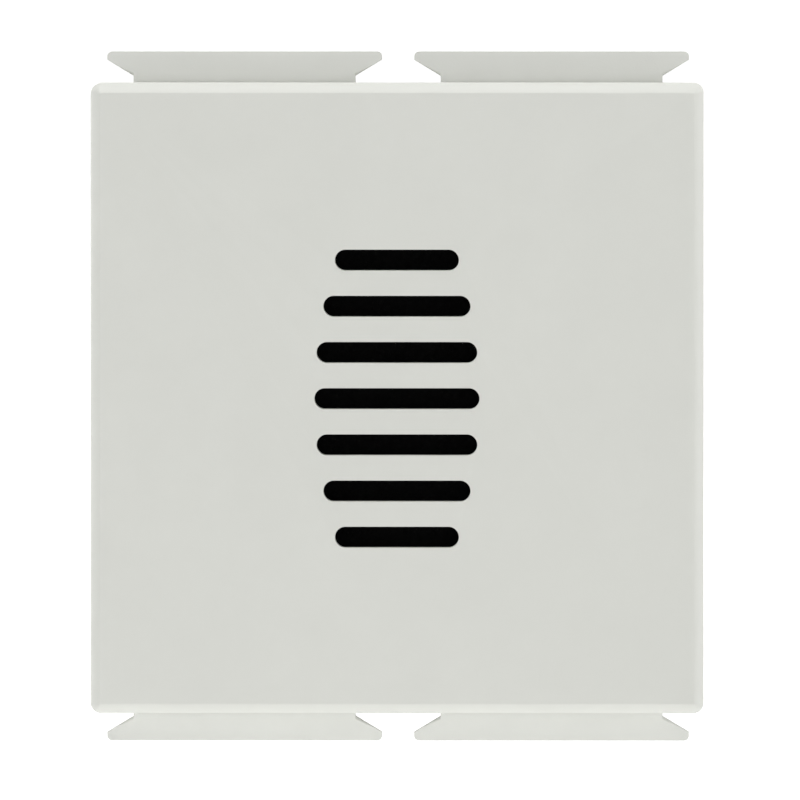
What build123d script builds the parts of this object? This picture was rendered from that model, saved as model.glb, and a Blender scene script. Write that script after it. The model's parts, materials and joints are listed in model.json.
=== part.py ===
"""Two-module chime insert for a 45 mm wall frame, as an assembly of separate pieces.

Millimetres. X runs to the right, Y to the rear and Z up. The origin is the centre of the seat plane,
where the rear faces of the four ears meet the wall frame.
"""

import os
from math import asin, atan2, cos, degrees, hypot, pi, radians, sqrt, tan

from build123d import *

os.makedirs("parts", exist_ok=True)

# Grid of the wall frame that the insert snaps into
module_pitch = 22.0
module_gap = 0.2
frame_panel = 2.0

# Clearances and the overrun of every cut
fit_gap = 0.05
slide_gap = 0.2
latch_gap = 0.1
overrun = 1.0

# Front cover
face_height = 45.0
face_standoff = 8.0
cover_wall = 1.8
skirt_wall = 1.5
cover_corner = 0.9
cover_edge = 0.7

# Sound slots with round ends, whose tips lie on two arcs
slot_count = 7
slot_pitch = 3.3
slot_height = 1.5
slot_reach = 5.9
slot_bow = 34.0

# Felt behind the slots and the rim that holds it
felt_width = 14.6
felt_height = 24.6
felt_thickness = 0.5
rim_wall = 0.8
rim_height = 1.0

# Snap arms of the cover and their windows in the carrier
snap_width = 5.0
snap_thickness = 1.2
snap_spacing = 24.0
snap_wall_gap = 0.3
snap_barb = 0.9
snap_ramp = 2.6
window_front = 2.0
window_length = 3.4
window_gap = 0.3

# Carrier flange and tube
flange_inset = 0.2
flange_rim_x = 1.55
flange_rim_z = 1.3
flange_thickness = 1.6
flange_corner = 1.0
seat_step = 0.15
tube_wall = 1.4
tube_corner = 2.2
tube_length = 8.0
lap_length = 1.6

# Ears, one above and one below each module
ear_gap = 2.3
ear_flare = 1.9
ear_reach = 2.2
ear_shoulder = 0.6
ear_slope_rise = 1.15
ear_bite = 0.4
ear_tip_thickness = 1.25
ear_tip_round = 0.35
ear_bevel = 0.3

# Latch tongues that grip the wall frame behind the ears
tongue_width = 7.0
tongue_slit = 0.7
tongue_front = 0.6
tongue_root = 6.8
hook_height = 0.9
hook_land = 0.8
hook_ramp = 3.0

# Corner screws, bosses and posts
screw_inset = 3.0
boss_radius = 2.3
boss_front = 1.0
boss_web = 1.2
post_radius = 2.6
post_web_gap = 0.3
case_screw_radius = 1.0
case_head_radius = 1.9
case_head_height = 1.5
screw_hole_gap = 0.08
screw_tip_gap = 1.5
recess_radius = 2.2
recess_depth = 10.0

# Chassis plate
chassis_side_gap = 0.4
chassis_thickness = 1.2
chassis_corner = 1.5
chassis_front = 7.0

# Gong and what it hangs on
gong_side_room = 5.0
gong_cover_gap = 0.5
gong_depth = 7.0
gong_thickness = 1.0
gong_knee = 5.0
gong_hole_radius = 1.6
post_stem_radius = 2.5
post_spigot_radius = 1.7
rivet_radius = 2.3
rivet_height = 0.5
post_thread_depth = 6.0
grommet_radius = 3.5
grommet_thickness = 0.6
gong_washer_radius = 3.2
gong_washer_thickness = 0.4
gong_screw_radius = 1.45
gong_screw_length = 5.6
gong_head_radius = 2.75
gong_head_height = 1.4

# Iron core: a U that lies on its side, open to the right
core_side_room = 6.3
core_stack = 6.0
core_leg = 5.0
core_top_drop = 2.0
core_screw_radius = 1.2
core_screw_gap = 0.06
core_head_radius = 2.2
core_head_height = 1.5
spacer_radius = 2.2
spacer_length = 3.8

# Coil on the lower leg
pole_reach = 0.8
bobbin_flange = 1.0
bobbin_wall = 0.7
bobbin_height = 11.6
bobbin_plate_gap = 0.3
bobbin_corner = 1.2
winding_inset = 0.7
winding_corner = 2.4
tape_thickness = 0.15
tape_inset = 1.5

# Armature, drawn against the poles and turned to rest by the lift
pivot_side_room = 8.45
pivot_top_room = 2.6
pole_gap = 0.1
armature_thickness = 1.5
armature_overlap = 0.5
knuckle_radius = 1.8
pin_radius = 0.8
pin_tail = 2.2
pin_groove_depth = 0.2
pivot_gap = 0.05
lift_degrees = 3.0

# Clip that keeps the armature on its pin
clip_radius = 1.9
clip_thickness = 0.4
clip_mouth = 1.1
clip_play = 0.3

# Hammer wire and ball
arm_radius = 0.6
arm_stop_gap = 1.6
arm_weld_length = 12.0
arm_bend = 1.6
striker_radius = 1.5
striker_inset = 1.8
striker_drop = 1.5
strike_gap = 0.15
hammer_notch_height = 3.6
hammer_notch_gap = 0.8

# Return spring round the pin
spring_wire_radius = 0.22
spring_radius = 1.4
spring_pitch = 0.9
spring_turns = 2
spring_leg_drop = 9.4
spring_leg_reach = 2.1
spring_bend = 0.6
spring_hook_run = 2.25

# Stop tab and its rubber pad
stop_drop = 12.0
stop_height = 3.0
stop_depth = 6.2
stop_tab_thickness = 1.2
pad_thickness = 0.8
pad_depth = 2.6

# Rear housing
housing_wall = 1.4
housing_rear_room = 2.6
housing_draft = 1.0
housing_edge = 0.9

# Terminal wells, open to the rear, with wire entries below
terminal_x = 8.0
well_width = 8.2
well_top_share = -0.232
well_bottom_share = -0.485
well_floor_run = 6.0
well_floor_wall = 1.4
well_wall = 1.2
entry_width = 7.0
entry_depth = 4.6
entry_floor_gap = 0.3

# Terminal plates, washers and screws
plate_side_gap = 0.3
washer_inset = 1.2
washer_side_gap = 0.25
terminal_thickness = 1.2
collar_radius = 2.3
collar_length = 2.2
tail_width = 2.0
tail_thickness = 0.8
tail_length = 3.8
washer_thickness = 1.0
washer_hole_radius = 1.6
thread_radius = 1.45
thread_pitch = 0.5
terminal_turns = 5
terminal_head_radius = 2.75
terminal_head_height = 2.0
drive_slot_width = 0.8
drive_slot_depth = 0.9

# Leads from the terminals to the coil
lead_radius = 0.3
lead_tip_run = 0.6
lead_bend = 1.0
lead_coil_x = 4.2

# Outline of the cover, flange, ears and tube
face_width = 2 * module_pitch - module_gap
face_front = -face_standoff
cover_inner = face_front + cover_wall
flange_front = -seat_step - flange_thickness
skirt_rear = flange_front - fit_gap
flange_width = face_width - 2 * flange_inset
flange_height = face_height - 2 * flange_inset
tube_width = flange_width - 2 * flange_rim_x
tube_height = flange_height - 2 * flange_rim_z
tube_inner_width = tube_width - 2 * tube_wall
tube_inner_height = tube_height - 2 * tube_wall
tube_inner_corner = tube_corner - tube_wall
ear_tip_width = module_pitch - ear_gap
ear_root_width = ear_tip_width - 2 * ear_flare
ear_tip_z = face_height / 2 + ear_reach
ear_slope_end = ear_tip_z - ear_shoulder
ear_slope_start = ear_slope_end - ear_slope_rise
ear_root_z = flange_height / 2 - ear_bite
lap_width = tube_inner_width + tube_wall - fit_gap
lap_height = tube_inner_height + tube_wall - fit_gap
lap_corner = (tube_corner + tube_inner_corner) / 2

# Places of the mechanism, from the front to the rear
head_front = cover_inner + felt_thickness + gong_cover_gap
head_rear = head_front + gong_head_height
gong_front = head_rear + gong_washer_thickness
gong_back = gong_front + gong_thickness
gong_rear = gong_front + gong_depth
post_front = gong_back + grommet_thickness
striker_depth = gong_rear - striker_inset
chassis_rear = chassis_front + chassis_thickness
core_front = chassis_rear + spacer_length
core_rear = core_front + core_stack
core_depth = core_front + core_stack / 2
knuckle_front = core_front - armature_overlap
knuckle_rear = core_rear + armature_overlap
pin_groove_front = knuckle_rear + clip_play
pin_rear = pin_groove_front + clip_thickness + 2 * fit_gap + pin_tail
tab_rear = chassis_rear + stop_depth
arm_depth = tab_rear + arm_radius + arm_stop_gap

# Places of the mechanism, seen from the front
screw_spacing_x = tube_inner_width - 2 * screw_inset
screw_spacing_z = tube_inner_height - 2 * screw_inset
chassis_width = tube_inner_width - 2 * chassis_side_gap
chassis_height = tube_inner_height - 2 * chassis_side_gap
gong_radius = tube_inner_width / 2 - gong_side_room
pivot_x = tube_inner_width / 2 - pivot_side_room
pivot_z = tube_inner_height / 2 - pivot_top_room
core_pole_x = pivot_x - armature_thickness / 2 - pole_gap
core_back_left = core_side_room - tube_inner_width / 2
core_hole_x = core_back_left + core_leg / 2
core_upper_high = pivot_z - core_top_drop
core_upper_z = core_upper_high - core_leg / 2
core_lower_low = -core_leg / 2
armature_foot_z = core_lower_low - armature_overlap
striker_z = armature_foot_z - striker_drop
hammer_hit = gong_radius + striker_radius + strike_gap
striker_x = sqrt(hammer_hit**2 - striker_z**2)
arm_x = pivot_x + armature_thickness / 2 + fit_gap + arm_radius
arm_top_z = armature_foot_z + arm_weld_length
lift = radians(lift_degrees)

# Places in the rear housing
housing_front = tube_length + fit_gap
housing_rear = pin_rear + housing_rear_room + housing_wall
housing_length = housing_rear - housing_front
recess_floor = housing_rear - recess_depth
case_screw_length = recess_floor - boss_front - screw_tip_gap
post_web_start = tube_length + lap_length + post_web_gap
well_top_z = tube_inner_height * well_top_share
well_bottom_z = tube_inner_height * well_bottom_share
terminal_z = (well_top_z + well_bottom_z) / 2
well_floor = chassis_rear + well_floor_run
terminal_width = well_width - 2 * plate_side_gap
terminal_height = well_top_z - well_bottom_z - 2 * plate_side_gap
washer_width = well_width - 2 * washer_side_gap
washer_height = terminal_height - 2 * washer_inset
terminal_rear = well_floor + terminal_thickness
washer_front = terminal_rear + fit_gap
washer_rear = washer_front + washer_thickness
terminal_head_front = washer_rear + fit_gap
terminal_travel = terminal_turns * thread_pitch
terminal_screw_length = terminal_head_front - well_floor + collar_length + terminal_travel
entry_middle = well_floor + entry_floor_gap + entry_depth / 2
tail_front = well_floor - tail_length
tail_z = terminal_z + terminal_height / 2 - tail_thickness / 2
lead_depth = tail_front + lead_tip_run


def at_depth(depth):
    """A sketch plane that faces the front at a given depth, with X right and Z up."""
    return Plane.XZ.offset(-depth)


def corner_places(width, height):
    """The four corners of a centred rectangle, for screws and bosses."""
    return GridLocations(width, height, 2, 2)


def rested(piece):
    """A piece of the hammer, turned from the poles to its rest against the stop."""
    return piece.rotate(Axis((pivot_x, 0, pivot_z), (0, 1, 0)), -lift_degrees)


def rest_face_x(offset, height):
    """Where a face of the armature, offset from the pivot, stands at a given height when at rest."""
    return pivot_x + offset / cos(lift) + (pivot_z - height) * tan(lift)


def save(piece, name):
    """Label a finished piece and write its file."""
    piece.label = name
    export_step(piece, f"parts/{name}.step")


# Front cover: a shallow tray with rounded edges
with BuildPart() as front_cover:
    with BuildSketch(at_depth(skirt_rear)):
        RectangleRounded(face_width, face_height, cover_corner)
    extrude(amount=skirt_rear - face_front)
    fillet(front_cover.faces().sort_by(Axis.Y)[0].edges(), cover_edge)
    with BuildSketch(at_depth(skirt_rear)):
        Rectangle(face_width - 2 * skirt_wall, face_height - 2 * skirt_wall)
    extrude(amount=skirt_rear - cover_inner, mode=Mode.SUBTRACT)
    # Rim that locates the felt
    with BuildSketch(at_depth(cover_inner + rim_height)):
        Rectangle(felt_width + 2 * slide_gap + 2 * rim_wall, felt_height + 2 * slide_gap + 2 * rim_wall)
        Rectangle(felt_width + 2 * slide_gap, felt_height + 2 * slide_gap, mode=Mode.SUBTRACT)
    extrude(amount=rim_height)
    # Seven slots, each as long as the bow at its height
    with BuildSketch(at_depth(cover_inner)):
        for row in range(slot_count):
            slot_z = (row - (slot_count - 1) / 2) * slot_pitch
            bow_inset = slot_bow - sqrt(slot_bow**2 - slot_z**2)
            with Locations((0, slot_z)):
                SlotOverall(2 * (slot_reach - bow_inset), slot_height)
    extrude(amount=cover_wall, mode=Mode.SUBTRACT)
    # Snap arms with their barbs, two on each side
    arm_outer = tube_inner_width / 2 - snap_wall_gap
    barb_front = window_front + latch_gap
    barb_rear = barb_front + snap_ramp
    for side in (-1, 1):
        with BuildSketch(Plane.XY.offset(side * snap_spacing / 2)):
            with BuildLine():
                Polyline(
                    (arm_outer - snap_thickness, cover_inner),
                    (arm_outer, cover_inner),
                    (arm_outer, barb_front),
                    (arm_outer + snap_barb, barb_front),
                    (arm_outer + snap_barb, barb_front + snap_barb / 2),
                    (arm_outer, barb_rear),
                    (arm_outer - snap_thickness / 2, barb_rear),
                    (arm_outer - snap_thickness, barb_front),
                    close=True,
                )
            make_face()
            mirror(about=Plane.YZ)
        extrude(amount=snap_width / 2, both=True)
save(front_cover.part, "front_cover")

# Felt behind the slots
with BuildPart() as dust_felt:
    with BuildSketch(at_depth(cover_inner + felt_thickness)):
        RectangleRounded(felt_width, felt_height, felt_thickness)
    extrude(amount=felt_thickness)
save(dust_felt.part, "dust_felt")

# Carrier: flange, ears, tube with lap, latch tongues and bosses
with BuildPart() as carrier:
    with BuildSketch(at_depth(-seat_step)):
        RectangleRounded(flange_width, flange_height, flange_corner)
    extrude(amount=flange_thickness)
    # Dovetail ears, wider at the tip than at the root
    with BuildSketch(at_depth(0)):
        for ear_x in (-module_pitch / 2, module_pitch / 2):
            with BuildLine():
                Polyline(
                    (ear_x - ear_root_width / 2, ear_root_z),
                    (ear_x - ear_root_width / 2, ear_slope_start),
                    (ear_x - ear_tip_width / 2, ear_slope_end),
                    (ear_x - ear_tip_width / 2, ear_tip_z),
                    (ear_x + ear_tip_width / 2, ear_tip_z),
                    (ear_x + ear_tip_width / 2, ear_slope_end),
                    (ear_x + ear_root_width / 2, ear_slope_start),
                    (ear_x + ear_root_width / 2, ear_root_z),
                    close=True,
                )
            make_face()
        mirror(about=Plane.XZ)
        tip_corners = vertices().filter_by(lambda corner: abs(corner.Y) > ear_tip_z - fit_gap)
        fillet(tip_corners, ear_tip_round)
    extrude(amount=-flange_front)
    # Front of the ears: bevelled round the outline and sloping back to the tip
    ear_edges = carrier.edges().filter_by_position(Axis.Y, flange_front, flange_front)
    ear_edges = ear_edges.filter_by(lambda edge: abs(edge.center().Z) > ear_slope_start)
    chamfer(ear_edges, ear_bevel)
    with BuildSketch(Plane.YZ):
        with BuildLine():
            Polyline(
                (flange_front, face_height / 2),
                (-ear_tip_thickness, ear_tip_z),
                (-ear_tip_thickness, ear_tip_z + overrun),
                (flange_front - overrun, ear_tip_z + overrun),
                (flange_front - overrun, face_height / 2),
                close=True,
            )
        make_face()
        mirror(about=Plane.XZ)
    extrude(amount=face_width, both=True, mode=Mode.SUBTRACT)
    # Tube that passes through the wall frame
    with BuildSketch(at_depth(tube_length)):
        RectangleRounded(tube_width, tube_height, tube_corner)
    extrude(amount=tube_length + seat_step)
    with BuildSketch(at_depth(tube_length + lap_length)):
        RectangleRounded(lap_width, lap_height, lap_corner)
    extrude(amount=lap_length)
    with BuildSketch(at_depth(tube_length + lap_length)):
        RectangleRounded(tube_inner_width, tube_inner_height, tube_inner_corner)
    extrude(amount=tube_length + lap_length - flange_front, mode=Mode.SUBTRACT)
    # Windows for the cover's barbs
    for side in (-1, 1):
        window_middle = window_front + window_length / 2
        with BuildSketch(Plane.XY.offset(side * snap_spacing / 2)):
            with Locations((0, window_middle)):
                Rectangle(tube_width + 2 * overrun, window_length)
        extrude(amount=snap_width / 2 + window_gap, both=True, mode=Mode.SUBTRACT)
    # Slits that free the latch tongues in the top and bottom walls
    with BuildSketch(Plane.XY):
        with Locations((-module_pitch / 2, tongue_root / 2), (module_pitch / 2, tongue_root / 2)):
            Rectangle(tongue_width + 2 * tongue_slit, tongue_root)
    extrude(amount=tube_height / 2 + overrun, both=True, mode=Mode.SUBTRACT)
    # Latch tongues, rooted at the rear, with a hook behind the frame's panel
    hook_front = frame_panel + latch_gap
    tube_top = tube_height / 2
    for side in (-1, 1):
        with BuildSketch(Plane.YZ.offset(side * module_pitch / 2)):
            with BuildLine():
                Polyline(
                    (tongue_front, tube_top - tube_wall),
                    (tongue_front, tube_top),
                    (hook_front, tube_top),
                    (hook_front, tube_top + hook_height),
                    (hook_front + hook_land, tube_top + hook_height),
                    (hook_front + hook_land + hook_ramp, tube_top),
                    (tongue_root, tube_top),
                    (tongue_root, tube_top - tube_wall),
                    close=True,
                )
            make_face()
            mirror(about=Plane.XZ)
        extrude(amount=tongue_width / 2, both=True)
    # Corner bosses, webbed to the tube
    with BuildSketch(at_depth(chassis_front)):
        with corner_places(screw_spacing_x, screw_spacing_z):
            Circle(boss_radius)
        for side in (-1, 1):
            with Locations((side * screw_spacing_x / 2, 0)):
                Rectangle(boss_web, tube_inner_height + tube_wall)
                Rectangle(boss_web, screw_spacing_z, mode=Mode.SUBTRACT)
            with Locations((0, side * screw_spacing_z / 2)):
                Rectangle(tube_inner_width + tube_wall, boss_web)
                Rectangle(screw_spacing_x, boss_web, mode=Mode.SUBTRACT)
        with corner_places(screw_spacing_x, screw_spacing_z):
            Circle(boss_radius)
    extrude(amount=chassis_front - boss_front)
    with BuildSketch(at_depth(chassis_front)):
        with corner_places(screw_spacing_x, screw_spacing_z):
            Circle(case_screw_radius + screw_hole_gap)
    extrude(amount=chassis_front - boss_front, mode=Mode.SUBTRACT)
save(carrier.part, "carrier")

# Chassis plate: punched steel, with a notch for the hammer and a stop tab bent out of its window
notch_left = striker_x - striker_radius - hammer_notch_gap
notch_right = chassis_width / 2 + overrun
stop_low_z = pivot_z - stop_drop
stop_middle_z = stop_low_z + stop_height / 2
pad_left = rest_face_x(armature_thickness / 2, stop_low_z) + fit_gap
tab_left = pad_left + pad_thickness + fit_gap

with BuildPart() as chassis_plate:
    with BuildSketch(at_depth(chassis_rear)):
        RectangleRounded(chassis_width, chassis_height, chassis_corner)
        with corner_places(screw_spacing_x, screw_spacing_z):
            Circle(case_screw_radius + screw_hole_gap, mode=Mode.SUBTRACT)
        Circle(post_spigot_radius + screw_hole_gap, mode=Mode.SUBTRACT)
        with Locations((core_hole_x, 0), (core_hole_x, core_upper_z)):
            Circle(core_screw_radius + core_screw_gap, mode=Mode.SUBTRACT)
        with Locations((pivot_x, pivot_z)):
            Circle(pin_radius + screw_hole_gap, mode=Mode.SUBTRACT)
        with Locations((pivot_x + spring_hook_run, pivot_z + spring_radius)):
            Circle(spring_wire_radius + screw_hole_gap, mode=Mode.SUBTRACT)
        with Locations(((notch_left + notch_right) / 2, striker_z)):
            Rectangle(notch_right - notch_left, hammer_notch_height, mode=Mode.SUBTRACT)
        with Locations((tab_left - stop_depth / 2, stop_middle_z)):
            Rectangle(stop_depth, stop_height, mode=Mode.SUBTRACT)
    extrude(amount=chassis_thickness)
    with BuildSketch(at_depth(tab_rear)):
        with Locations((tab_left + stop_tab_thickness / 2, stop_middle_z)):
            Rectangle(stop_tab_thickness, stop_height)
    extrude(amount=tab_rear - chassis_rear)
save(chassis_plate.part, "chassis_plate")

# Rubber pad on the stop tab
with BuildPart() as stop_pad:
    with BuildSketch(at_depth(tab_rear)):
        with Locations((pad_left + pad_thickness / 2, stop_middle_z)):
            Rectangle(pad_thickness, stop_height)
    extrude(amount=pad_depth)
save(stop_pad.part, "stop_pad")

# Gong: a drawn steel bell, crown to the front
gong_middle = gong_front + gong_thickness / 2
gong_side = gong_radius - gong_thickness / 2
with BuildPart() as gong:
    with BuildSketch(Plane.XY):
        with BuildLine() as gong_line:
            FilletPolyline(
                (gong_hole_radius, gong_middle),
                (gong_side, gong_middle),
                (gong_side, gong_rear),
                radius=gong_knee,
            )
        trace(gong_line.line, line_width=gong_thickness)
    revolve(axis=Axis.Y)
save(gong.part, "gong")

# Gong post, riveted into the plate, with a threaded hole in front
with BuildPart() as gong_post:
    with BuildSketch(at_depth(chassis_front)):
        Circle(post_stem_radius)
    extrude(amount=chassis_front - post_front)
    with BuildSketch(at_depth(chassis_rear)):
        Circle(post_spigot_radius)
    extrude(amount=chassis_thickness)
    with BuildSketch(at_depth(chassis_rear + rivet_height)):
        Circle(rivet_radius)
    extrude(amount=rivet_height)
    with BuildSketch(at_depth(post_front + post_thread_depth)):
        Circle(gong_screw_radius + pivot_gap)
    extrude(amount=post_thread_depth, mode=Mode.SUBTRACT)
save(gong_post.part, "gong_post")

with BuildPart() as gong_grommet:
    with BuildSketch(at_depth(post_front)):
        Circle(grommet_radius)
        Circle(gong_hole_radius, mode=Mode.SUBTRACT)
    extrude(amount=grommet_thickness)
save(gong_grommet.part, "gong_grommet")

with BuildPart() as gong_washer:
    with BuildSketch(at_depth(gong_front)):
        Circle(gong_washer_radius)
        Circle(gong_hole_radius, mode=Mode.SUBTRACT)
    extrude(amount=gong_washer_thickness)
save(gong_washer.part, "gong_washer")

# Pan-head screw with a straight drive slot
with BuildPart() as gong_screw:
    with BuildSketch(at_depth(head_rear)):
        Circle(gong_head_radius)
    extrude(amount=gong_head_height)
    chamfer(gong_screw.faces().sort_by(Axis.Y)[0].edges(), gong_head_height / 4)
    with BuildSketch(at_depth(head_rear - gong_head_height / 2)):
        Rectangle(2 * gong_head_radius, drive_slot_width)
    extrude(amount=gong_head_height, mode=Mode.SUBTRACT)
    with BuildSketch(at_depth(head_rear + gong_screw_length)):
        Circle(gong_screw_radius)
    extrude(amount=gong_screw_length)
save(gong_screw.part, "gong_screw")

# Iron core: two legs and a back, with holes for its screws
with BuildPart() as core_laminations:
    with BuildSketch(at_depth(core_rear)):
        with BuildLine():
            Polyline(
                (core_back_left, core_lower_low),
                (core_pole_x, core_lower_low),
                (core_pole_x, core_lower_low + core_leg),
                (core_back_left + core_leg, core_lower_low + core_leg),
                (core_back_left + core_leg, core_upper_high - core_leg),
                (core_pole_x, core_upper_high - core_leg),
                (core_pole_x, core_upper_high),
                (core_back_left, core_upper_high),
                close=True,
            )
        make_face()
        with Locations((core_hole_x, 0), (core_hole_x, core_upper_z)):
            Circle(core_screw_radius + core_screw_gap, mode=Mode.SUBTRACT)
    extrude(amount=core_stack)
save(core_laminations.part, "core_laminations")

with BuildPart() as core_spacers:
    with BuildSketch(at_depth(core_front)):
        with Locations((core_hole_x, 0), (core_hole_x, core_upper_z)):
            Circle(spacer_radius)
            Circle(core_screw_radius + core_screw_gap, mode=Mode.SUBTRACT)
    extrude(amount=core_front - chassis_rear)
save(core_spacers.part, "core_spacers")

with BuildPart() as core_screws:
    with BuildSketch(at_depth(core_rear)):
        with Locations((core_hole_x, 0), (core_hole_x, core_upper_z)):
            Circle(core_screw_radius)
    extrude(amount=core_rear - chassis_front)
    with BuildSketch(at_depth(core_rear + core_head_height)):
        with Locations((core_hole_x, 0), (core_hole_x, core_upper_z)):
            Circle(core_head_radius)
    extrude(amount=core_head_height)
    chamfer(core_screws.faces().sort_by(Axis.Y)[-2:].edges(), core_head_height / 4)
    with BuildSketch(at_depth(core_rear + core_head_height)):
        with Locations((core_hole_x, 0), (core_hole_x, core_upper_z)):
            Rectangle(2 * core_head_radius, drive_slot_width)
    extrude(amount=core_head_height / 2, mode=Mode.SUBTRACT)
save(core_screws.part, "core_screws")

# Bobbin, winding and tape, all drawn about the lower leg and looking along X
bobbin_left = core_back_left + core_leg + slide_gap
bobbin_right = core_pole_x - pole_reach
bobbin_depth = 2 * (core_depth - chassis_rear - bobbin_plate_gap)
winding_depth = bobbin_depth - 2 * winding_inset
winding_height = bobbin_height - 2 * winding_inset
tunnel_height = core_leg + 2 * slide_gap
tunnel_depth = core_stack + 2 * slide_gap
barrel_height = tunnel_height + 2 * bobbin_wall
barrel_depth = tunnel_depth + 2 * bobbin_wall
coil_left = bobbin_left + bobbin_flange
coil_right = bobbin_right - bobbin_flange
coil_middle = (coil_left + coil_right) / 2
tape_length = coil_right - coil_left - 2 * tape_inset

with BuildPart() as bobbin:
    for flange_left in (bobbin_left, coil_right):
        with BuildSketch(Plane.YZ.offset(flange_left)):
            with Locations((core_depth, 0)):
                RectangleRounded(bobbin_depth, bobbin_height, bobbin_corner)
        extrude(amount=bobbin_flange)
    with BuildSketch(Plane.YZ.offset(coil_left)):
        with Locations((core_depth, 0)):
            Rectangle(barrel_depth, barrel_height)
    extrude(amount=coil_right - coil_left)
    with BuildSketch(Plane.YZ.offset(bobbin_left)):
        with Locations((core_depth, 0)):
            Rectangle(tunnel_depth, tunnel_height)
    extrude(amount=bobbin_right - bobbin_left, mode=Mode.SUBTRACT)
save(bobbin.part, "bobbin")

with BuildPart() as coil_winding:
    with BuildSketch(Plane.YZ.offset(coil_left + fit_gap)):
        with Locations((core_depth, 0)):
            RectangleRounded(winding_depth, winding_height, winding_corner)
            Rectangle(barrel_depth + 2 * fit_gap, barrel_height + 2 * fit_gap, mode=Mode.SUBTRACT)
    extrude(amount=coil_right - coil_left - 2 * fit_gap)
save(coil_winding.part, "coil_winding")

tape_inner_corner = winding_corner + fit_gap
with BuildPart() as coil_tape:
    with BuildSketch(Plane.YZ.offset(coil_middle - tape_length / 2)):
        with Locations((core_depth, 0)):
            tape_inner_depth = winding_depth + 2 * fit_gap
            tape_inner_height = winding_height + 2 * fit_gap
            RectangleRounded(
                tape_inner_depth + 2 * tape_thickness,
                tape_inner_height + 2 * tape_thickness,
                tape_inner_corner + tape_thickness,
            )
            RectangleRounded(tape_inner_depth, tape_inner_height, tape_inner_corner, mode=Mode.SUBTRACT)
    extrude(amount=tape_length)
save(coil_tape.part, "coil_tape")

# Armature: a flat steel bar with a rolled knuckle at its top
with BuildPart() as armature:
    with BuildSketch(at_depth(knuckle_rear)):
        with Locations((pivot_x, (pivot_z + armature_foot_z) / 2)):
            Rectangle(armature_thickness, pivot_z - armature_foot_z)
        with Locations((pivot_x, pivot_z)):
            Circle(knuckle_radius)
            Circle(pin_radius + pivot_gap, mode=Mode.SUBTRACT)
    extrude(amount=knuckle_rear - knuckle_front)
save(rested(armature.part), "armature")

# Pivot pin with a groove for its clip
with BuildPart() as pivot_pin:
    with BuildSketch(at_depth(pin_rear)):
        with Locations((pivot_x, pivot_z)):
            Circle(pin_radius)
    extrude(amount=pin_rear - chassis_front)
    chamfer(pivot_pin.faces().sort_by(Axis.Y)[-1].edges(), pin_groove_depth)
    with BuildSketch(at_depth(pin_groove_front + clip_thickness + 2 * fit_gap)):
        with Locations((pivot_x, pivot_z)):
            Circle(pin_radius + overrun)
            Circle(pin_radius - pin_groove_depth, mode=Mode.SUBTRACT)
    extrude(amount=clip_thickness + 2 * fit_gap, mode=Mode.SUBTRACT)
save(pivot_pin.part, "pivot_pin")

with BuildPart() as pivot_clip:
    with BuildSketch(at_depth(pin_groove_front + fit_gap + clip_thickness)):
        with Locations((pivot_x, pivot_z)):
            Circle(clip_radius)
            Circle(pin_radius - pin_groove_depth + fit_gap, mode=Mode.SUBTRACT)
        with Locations((pivot_x, pivot_z + clip_radius)):
            Rectangle(clip_mouth, 2 * clip_radius, mode=Mode.SUBTRACT)
    extrude(amount=clip_thickness)
save(pivot_clip.part, "pivot_clip")

# Hammer wire: down the armature's back, out and forward to the ball
with BuildPart() as hammer_arm:
    with BuildLine() as arm_route:
        FilletPolyline(
            (arm_x, arm_depth, arm_top_z),
            (arm_x, arm_depth, striker_z),
            (striker_x, arm_depth - arm_bend, striker_z),
            (striker_x, striker_depth, striker_z),
            radius=(arm_bend, arm_bend),
        )
    with BuildSketch(Plane(origin=arm_route.line @ 0, z_dir=arm_route.line % 0)):
        Circle(arm_radius)
    sweep(path=arm_route.line)
save(rested(hammer_arm.part), "hammer_arm")

with BuildPart() as striker:
    with Locations((striker_x, striker_depth, striker_z)):
        Sphere(striker_radius)
    with BuildSketch(at_depth(striker_depth + striker_radius + overrun)):
        with Locations((striker_x, striker_z)):
            Circle(arm_radius + fit_gap)
    extrude(amount=striker_radius + overrun, mode=Mode.SUBTRACT)
save(rested(striker.part), "striker")

# Return spring: open turns round the pin, one end hooked in the plate, the other on the armature
touch_face_x = rest_face_x(-armature_thickness / 2, pivot_z - spring_leg_drop)
touch_run = pivot_x - touch_face_x + spring_wire_radius + fit_gap
touch_reach = hypot(touch_run, spring_leg_drop)
leg_length = sqrt(touch_reach**2 - spring_radius**2)
leg_lean = asin(spring_radius / touch_reach) - atan2(touch_run, spring_leg_drop)
spring_front = chassis_rear + 2 * spring_wire_radius
turns_length = spring_pitch * (spring_turns + 1 / 4 + degrees(leg_lean) / 360)

with BuildPart() as return_spring:
    with BuildLine() as spring_route:
        turns = Helix(
            spring_pitch,
            turns_length,
            spring_radius,
            center=(pivot_x, spring_front, pivot_z),
            direction=(0, 1, 0),
            lefthand=True,
        )
        hook_corner = turns @ 0 - (turns % 0) * spring_hook_run
        hook_end = Vector(hook_corner.X, chassis_front + chassis_thickness / 2, hook_corner.Z)
        FilletPolyline(turns @ 0, hook_corner, hook_end, radius=2 * spring_wire_radius)
        foot_corner = turns @ 1 + (turns % 1) * leg_length
        foot_end = foot_corner + Vector(0, spring_leg_reach, 0)
        FilletPolyline(turns @ 1, foot_corner, foot_end, radius=spring_bend)
    with BuildSketch(Plane(origin=hook_end, z_dir=(0, 1, 0))):
        Circle(spring_wire_radius)
    sweep(path=spring_route.wire(), is_frenet=True)
spring_length = spring_route.wire().length
volume_length = return_spring.part.volume / (pi * spring_wire_radius**2)
print(f"return spring: {spring_length:.1f} mm of wire, {volume_length:.1f} mm by its volume")
save(return_spring.part, "return_spring")

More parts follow.
